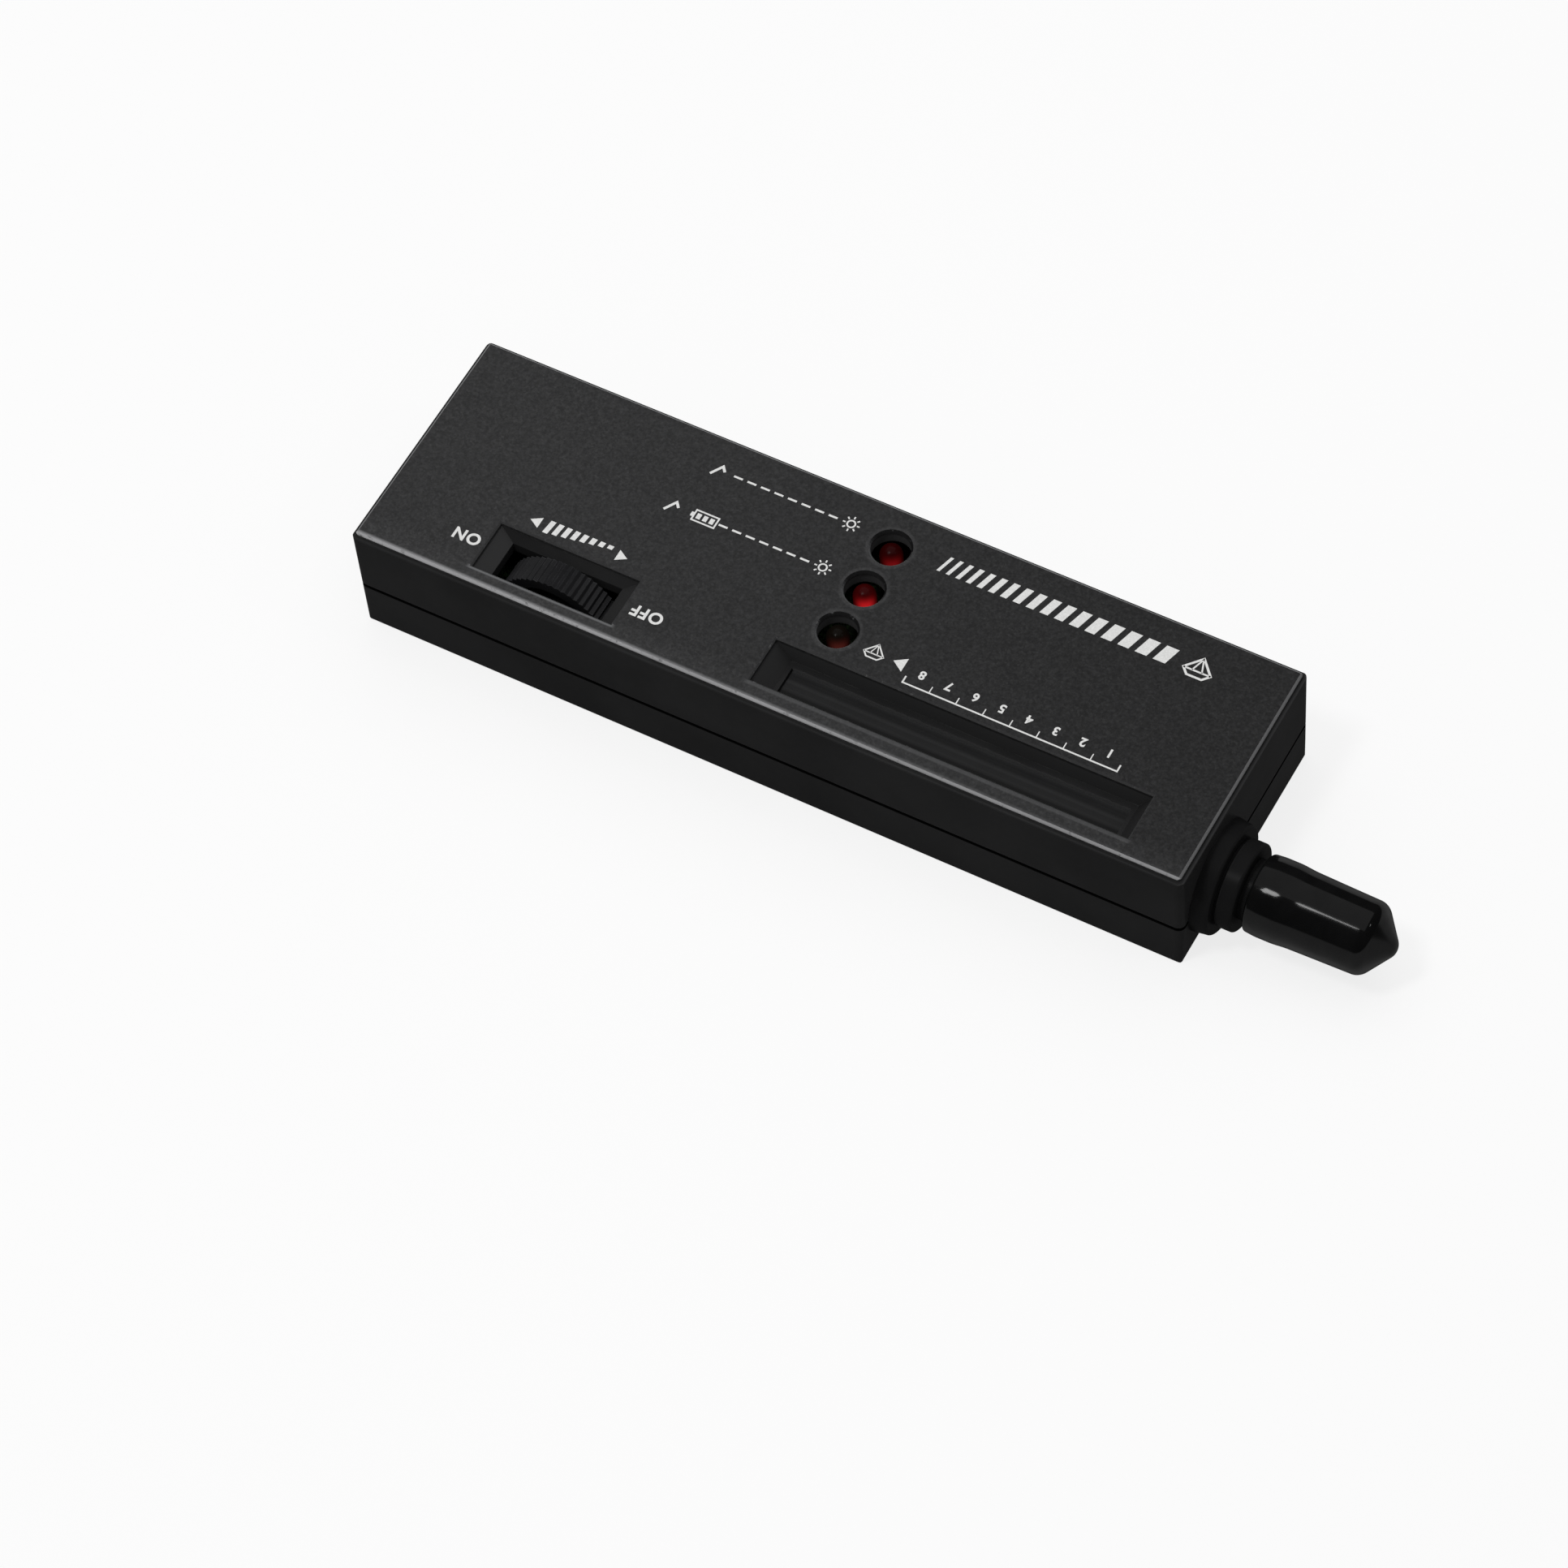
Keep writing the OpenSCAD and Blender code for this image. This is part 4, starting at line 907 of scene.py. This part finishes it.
class TESTER_OT_display(TesterOperator, bpy.types.Operator):
    """Finish the strip window and the segments behind it"""

    bl_idname = "tester.display"
    bl_label = "Bar Display"

    def make(self, looks):
        dress("window_tint", self.make_window(looks.finishes.window_tint))
        for slot in ("segment_green", "segment_amber", "segment_red"):
            label = slot.replace("_", " ").capitalize()
            dress(slot, moulded(label, SLOT_COLOURS[slot], 0.3, grain=900.0, Coat_Weight=0.3))

    def make_window(self, colour):
        """Dark acrylic, faintly banded along its length, with painted light and shade."""
        made, tree, shader = start_material("Window acrylic", colour, 0.22, Specular_IOR_Level=0.1)
        y = place_of(tree)[1]
        noise_inputs = {"W": y, "Scale": 900.0, "Detail": 1.0}
        bands = add(tree, "TexNoise", noise_inputs, noise_dimensions="1D").outputs["Fac"]
        smudge = place_group(tree, "Smudges", {"Size": 8 * MM})["Mask"]
        base = mix_colour(tree, ramp(tree, bands, 0.4, 0.65), tinted(colour, 0.8), tinted(colour, 1.25))
        # painted light on the far edge, and painted shade over the near half
        middle = middle_of("bar_window").y
        painted_far_edge_light = ramp(tree, y, middle + 2.3 * MM, middle + 2.75 * MM)
        painted_near_half_shade = ramp(tree, y, middle - 0.3 * MM, middle - 1.1 * MM)
        for place, tint in ((painted_far_edge_light, 1.8), (painted_near_half_shade, 0.2)):
            base = mix_colour(tree, place, base, tinted(colour, tint))
        feed(tree, shader["Base Color"], base)
        feed(tree, shader["Roughness"], mix_value(tree, smudge, 0.3, 0.16))
        return made


class TESTER_OT_lamps(TesterOperator, bpy.types.Operator):
    """Finish the three lamps, two of them lit"""

    bl_idname = "tester.lamps"
    bl_label = "Lamps"

    def make(self, looks):
        tones = looks.finishes
        # the unlit lamp gets a faint painted glow at its foot
        for slot, colour, glow in (("lamp_red", tones.lamp_red, tinted(tones.lamp_red, 0.75)),
                                   ("lamp_red_dim", tones.lamp_red_dim, tinted(tones.lamp_red_dim, 0.42)),
                                   ("lamp_dark", tones.lamp_dark, tones.unlit_lamp_glow)):
            dress(slot, self.make_lens(tones, slot, colour, glow))

    def make_lens(self, tones, slot, colour, glow):
        """Lens whose chip glows through one side, below the dome, and fades towards both flanks."""
        node = SLOT_NODES[slot][0]
        middle, top, lens = middle_of(node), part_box(node)[1].z, tones.lens
        label = slot.replace("_", " ").capitalize()
        made, tree, shader = start_material(label, tinted(colour, 0.06), 0.25, Emission_Strength=1.0,
                                            Specular_IOR_Level=0.04)
        x, y, z = place_of(tree)
        from_x, from_y = calc(tree, "SUBTRACT", x, middle.x), calc(tree, "SUBTRACT", y, middle.y)
        s, c = math.sin(tones.lamp_turn), math.cos(tones.lamp_turn)
        front = calc(tree, "SUBTRACT", times(tree, from_x, s), times(tree, from_y, c))
        flank = calc(tree, "ADD", times(tree, from_x, c), times(tree, from_y, s))
        below_dome = band(tree, z, (top - 0.1 * lens, top - lens), (top - 2.4 * lens, top - 1.7 * lens))
        in_front = ramp(tree, front, -0.2 * lens, 0.9 * lens)
        off_flanks = ramp(tree, calc(tree, "ABSOLUTE", flank), lens, 0.15 * lens, 0.1, 1.0)
        lit = times(tree, below_dome, in_front, off_flanks)
        feed(tree, shader["Emission Color"], mix_colour(tree, lit, (0.0, 0.0, 0.0), glow))
        smudge = place_group(tree, "Smudges", {"Size": 3 * MM})["Mask"]
        feed(tree, shader["Roughness"], mix_value(tree, smudge, 0.32, 0.18))
        return made


class TESTER_OT_cap(TesterOperator, bpy.types.Operator):
    """Mould the soft cap over the probe"""

    bl_idname = "tester.cap"
    bl_label = "Soft Cap"

    def make(self, looks):
        low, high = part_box("protective_cap")
        cap = looks.cap
        profile = [(low.x + x, r, 0.0) for x, r in self.inner_line(cap, high - low)]
        profile += [(low.x + x, r, cap.waviness) for x, r in self.outer_line(cap, high - low)]
        piece = add_piece("soft_cap", turned(profile, (low + high) / 2, cap.segments),
                          self.make_vinyl(looks.finishes.cap_vinyl), "cap", math.radians(40))
        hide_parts("protective_cap")

    def nose_circles(self, cap, size):
        """Middles of the closed end's two roundings, and the slope of the line that touches both."""
        end = size.z / 2 - cap.waist - cap.taper
        shoulder = Vector((size.x - cap.nose, end - cap.shoulder))
        point = Vector((size.x - cap.point, 0.0))
        run = point - shoulder
        return shoulder, point, math.atan2(-run.y, run.x) + math.asin((cap.shoulder - cap.point) / run.length)

    def outer_line(self, cap, size):
        """Outside from the lip to the closed end: a swell, a waist, a slow taper and a blunt point."""
        shoulder, point, drop = self.nose_circles(cap, size)
        lip_round, lip_drop, lip_run, waist_run = 0.5 * MM, 0.14 * MM, 2.2 * MM, 3.0 * MM
        lip_steps, wall_steps, nose_steps = 6, 40, 10
        def radius(x):
            narrow = lip_drop * (1.0 - smooth_step(x / lip_run))
            drawn = cap.waist * smooth_step((x - cap.grip) / waist_run)
            thin = cap.taper * max(0.0, (x - cap.grip) / (shoulder.x - cap.grip))
            return size.z / 2 - narrow - drawn - thin
        lip = Vector((lip_round, radius(lip_round) - lip_round))
        line = arc(lip, lip_round, -math.pi / 2, 0.0, lip_steps)
        for i in range(1, wall_steps):
            x = lip.x + (shoulder.x - lip.x) * i / wall_steps
            line.append((x, radius(x)))
        line += arc(shoulder, cap.shoulder, 0.0, drop, nose_steps)
        return line + arc(point, cap.point, drop, math.pi / 2, nose_steps)

    def inner_line(self, cap, size):
        """Inside from the closed end to the mouth."""
        shoulder, point, drop = self.nose_circles(cap, size)
        outward = Vector((math.sin(drop), math.cos(drop)))
        mouth, step = size.z / 2 - cap.wall, 0.3 * MM
        return [
            (size.x - cap.wall, 0.0),
            tuple(point + outward * (cap.point - cap.wall)),
            tuple(shoulder + outward * (cap.shoulder - cap.wall)),
            (shoulder.x, shoulder.y + cap.shoulder - cap.wall),
            (cap.grip - step, mouth),
            (0.0, mouth),
        ]

    def make_vinyl(self, colour):
        """Glossy soft vinyl, which loses its gloss where it is seen edge-on."""
        made, tree, shader = start_material("Cap vinyl", colour, 0.4, Specular_IOR_Level=0.0,
                                            Coat_Roughness=0.1)
        smudge = place_group(tree, "Smudges", {"Size": 7 * MM})["Mask"]
        texture = place_group(tree, "Moulded grain", {"Grain": 700.0})
        feed(tree, shader["Base Color"], mix_colour(tree, smudge, colour, tinted(colour, 1.5)))
        edge_on = ramp(tree, add(tree, "LayerWeight", {"Blend": 0.5}).outputs["Facing"], 0.55, 0.95)
        feed(tree, shader["Coat Weight"], mix_value(tree, edge_on, mix_value(tree, smudge, 0.26, 0.18), 0.03))
        bump(tree, shader, texture["Height"], 0.003 * MM)
        return made


class TESTER_OT_probe(TesterOperator, bpy.types.Operator):
    """Finish the sleeve, the sprung tip and what they hold"""

    bl_idname = "tester.probe"
    bl_label = "Probe"

    def make(self, looks):
        for slot, label, roughness in (("sleeve_chrome", "Plated sleeve", 0.12),
                                       ("spring_steel", "Spring wire", 0.3),
                                       ("tip_copper", "Copper tip", 0.22)):
            dress(slot, metal(label, SLOT_COLOURS[slot], roughness))
        for slot, label, roughness, grain, coat in (("cream_ceramic", "Unglazed ceramic", 0.75, 5000.0, 0.0),
                                                    ("bead_glass", "Glass bead", 0.15, 900.0, 0.5)):
            dress(slot, moulded(label, SLOT_COLOURS[slot], roughness, grain=grain, Coat_Weight=coat))
        self.make_spring()

    def make_spring(self):
        """Return spring, copied from the CAD spring and shaded smooth; this copy does not shorten as the tip
        is pressed.
        """
        mesh = frame["nodes"]["probe_spring"].data.copy()
        mesh.name = "return_spring"
        mesh.shade_smooth()
        spring = new_object("return_spring", mesh)
        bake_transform(spring)
        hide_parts("probe_spring")


class TESTER_OT_inside(TesterOperator, bpy.types.Operator):
    """Finish the circuit board, its parts, the battery and the leads"""

    bl_idname = "tester.inside"
    bl_label = "Inside"

    def make(self, looks):
        dress("board_green", self.make_board(looks.finishes.board_green))
        dress("battery_wrap", metal("Battery wrap", looks.finishes.battery_wrap, 0.4, lines=600.0))
        for slot, label, roughness, coat in (
                ("chip_black", "Chip moulding", 0.6, 0.0), ("capacitor_blue", "Shrink sleeve", 0.3, 0.3),
                ("resistor_tan", "Lacquered ceramic", 0.35, 0.3),
                ("trimmer_blue", "Trimmer moulding", 0.35, 0.2),
                ("lead_white", "White insulation", 0.5, 0.0), ("lead_red", "Red insulation", 0.5, 0.0),
                ("lead_black", "Black insulation", 0.5, 0.0), ("foam_grey", "Foam", 0.9, 0.0)):
            dress(slot, moulded(label, SLOT_COLOURS[slot], roughness, grain=2200.0, Coat_Weight=coat))

    def make_board(self, colour):
        """Woven laminate, painted darker as shade inside the case, with paler tracks."""
        made, tree, shader = start_material("Board laminate", colour, 0.4, Coat_Weight=0.3)
        weave = place_group(tree, "Moulded grain", {"Grain": 1500.0})
        tracks = add(tree, "TexBrick", {"Vector": object_place(tree), "Scale": 130.0, "Mortar Size": 0.03})
        # painted shade: the laminate is painted at a third to under half of its own colour
        laminate = mix_colour(tree, weave["Tone"], tinted(colour, 0.3), tinted(colour, 0.45))
        base = mix_colour(tree, tracks.outputs["Fac"], laminate, tinted(colour, 0.8))
        feed(tree, shader["Base Color"], base)
        bump(tree, shader, weave["Height"], 0.01 * MM)
        return made


class TESTER_OT_stage(TesterOperator, bpy.types.Operator):
    """Set up the floor, the studio light and the camera"""

    bl_idname = "tester.stage"
    bl_label = "Stage"

    def make(self, looks):
        stage = looks.stage
        self.make_floor(stage)
        self.make_world(stage)
        self.make_lights()
        self.make_camera(stage)
        bpy.context.scene.view_settings.view_transform = "Standard"

    def seen_directly(self, tree):
        """1 for what the camera, a reflection or clear material sees."""
        path = add(tree, "LightPath").outputs
        return largest(tree, path["Is Camera Ray"], path["Is Glossy Ray"], path["Is Transmission Ray"])

    def make_floor(self, stage):
        """White floor, just below the object, that keeps its shadow."""
        made, tree, shader = start_material("Floor", stage.floor, 0.9, Specular_IOR_Level=0.0)
        seen = self.seen_directly(tree)
        feed(tree, shader["Base Color"], mix_colour(tree, seen, stage.floor_bounce, stage.floor))
        glow = add(tree, "Emission", {"Color": (1.0, 1.0, 1.0, 1.0), "Strength": 1.0})
        both = add(tree, "MixShader", {0: times(tree, seen, stage.floor_glow),
                                       1: tree.nodes["Principled BSDF"].outputs[0], 2: glow.outputs[0]})
        feed(tree, tree.nodes["Material Output"].inputs["Surface"], both.outputs[0])
        half_size = 4.0
        bm = bmesh.new()
        bmesh.ops.create_grid(bm, x_segments=1, y_segments=1, size=half_size)
        floor = new_object("floor", mesh_of("floor", bm, made))
        floor.location.z = -0.02 * MM

    def make_world(self, stage):
        """Even fill. The camera sees white all round, and gloss a dark room above the floor's horizon."""
        world = bpy.data.worlds.new("Studio")
        bpy.context.scene.world = world
        world.use_nodes = True
        tree = world.node_tree
        fill = tree.nodes["Background"]
        fill.inputs["Color"].default_value = (1.0, 1.0, 1.0, 1.0)
        fill.inputs["Strength"].default_value = stage.fill
        height = split(tree, add(tree, "TexCoord").outputs["Generated"])[2]
        from_camera = add(tree, "LightPath").outputs["Is Camera Ray"]
        white = largest(tree, ramp(tree, height, 0.06, 0.0), from_camera)
        shown = mix_colour(tree, white, (0.05, 0.05, 0.05), (1.0, 1.0, 1.0))
        backdrop = add(tree, "Background", {"Color": shown, "Strength": 1.0})
        both = add(tree, "MixShader", {0: self.seen_directly(tree), 1: fill.outputs[0],
                                       2: backdrop.outputs[0]})
        feed(tree, tree.nodes["World Output"].inputs["Surface"], both.outputs[0])

    def make_lights(self):
        """Broad overhead softbox, a small bright key at its near edge and a faint kicker beyond the probe."""
        probe = (0.073, -0.01, 0.012)
        for name, place, target, size, radiance in (
                ("softbox", (-0.25, 0.42, 0.95), (-0.25, 0.42, 0.0), (1.5, 1.4), 1.0),
                ("key", (-0.193, -0.33, 0.922), probe, (0.15, 0.2), 32.0),
                ("kicker", (0.69, 0.17, 0.76), probe, (0.08, 0.06), 18.0)):
            light = bpy.data.lights.new(name, "AREA")
            light.shape = "RECTANGLE"
            light.size, light.size_y = size
            light.energy = radiance * math.pi * size[0] * size[1]
            lamp = new_object(name, light)
            lamp.location = place
            lamp.rotation_mode = "QUATERNION"
            lamp.rotation_quaternion = (Vector(target) - Vector(place)).to_track_quat("-Z", "Y")

    def make_camera(self, stage):
        """Camera at the photograph's place, turned about its own axis by the roll."""
        data = bpy.data.cameras.new("camera")
        data.sensor_width = 36.0
        data.lens = stage.lens
        data.clip_start, data.clip_end = 0.01, 50.0
        camera = new_object("camera", data)
        a, e = stage.azimuth, stage.elevation
        back = Vector((math.sin(a) * math.cos(e), -math.cos(a) * math.cos(e), math.sin(e)))
        level = back.to_track_quat("Z", "Y").to_matrix().to_4x4()
        camera.matrix_world = (Matrix.Translation(Vector(stage.aim) + back * stage.distance) @ level
                               @ Matrix.Rotation(stage.roll, 4, "Z"))
        bpy.context.scene.camera = camera


OPERATORS = (
    TESTER_OT_groups, TESTER_OT_stage, TESTER_OT_case, TESTER_OT_plate, TESTER_OT_marks, TESTER_OT_wheel,
    TESTER_OT_display, TESTER_OT_lamps, TESTER_OT_cap, TESTER_OT_probe, TESTER_OT_inside,
)


class TESTER_PT_panel(bpy.types.Panel):
    """Sidebar panel that lists the operators and their settings."""

    bl_idname = "TESTER_PT_panel"
    bl_label = "Gemstone Tester"
    bl_space_type = "VIEW_3D"
    bl_region_type = "UI"
    bl_category = "Tester"

    def draw(self, context):
        for operator in OPERATORS:
            self.layout.operator(operator.bl_idname)
        for group in ("finishes", "marks", "cap", "stage"):
            settings = getattr(context.scene.tester, group)
            box = self.layout.box()
            for name in settings.bl_rna.properties.keys():
                if name not in ("rna_type", "name"):
                    box.prop(settings, name)


CLASSES = (TesterFinishes, TesterPrint, TesterCap, TesterStage, TesterLooks, *OPERATORS, TESTER_PT_panel)


def register():
    for cls in CLASSES:
        bpy.utils.register_class(cls)
    bpy.types.Scene.tester = PointerProperty(type=TesterLooks)


def unregister():
    del bpy.types.Scene.tester
    for cls in reversed(CLASSES):
        bpy.utils.unregister_class(cls)


def main():
    register()
    for operator in OPERATORS:
        family, name = operator.bl_idname.split(".")
        getattr(getattr(bpy.ops, family), name)()


if __name__ == "__main__":
    main()
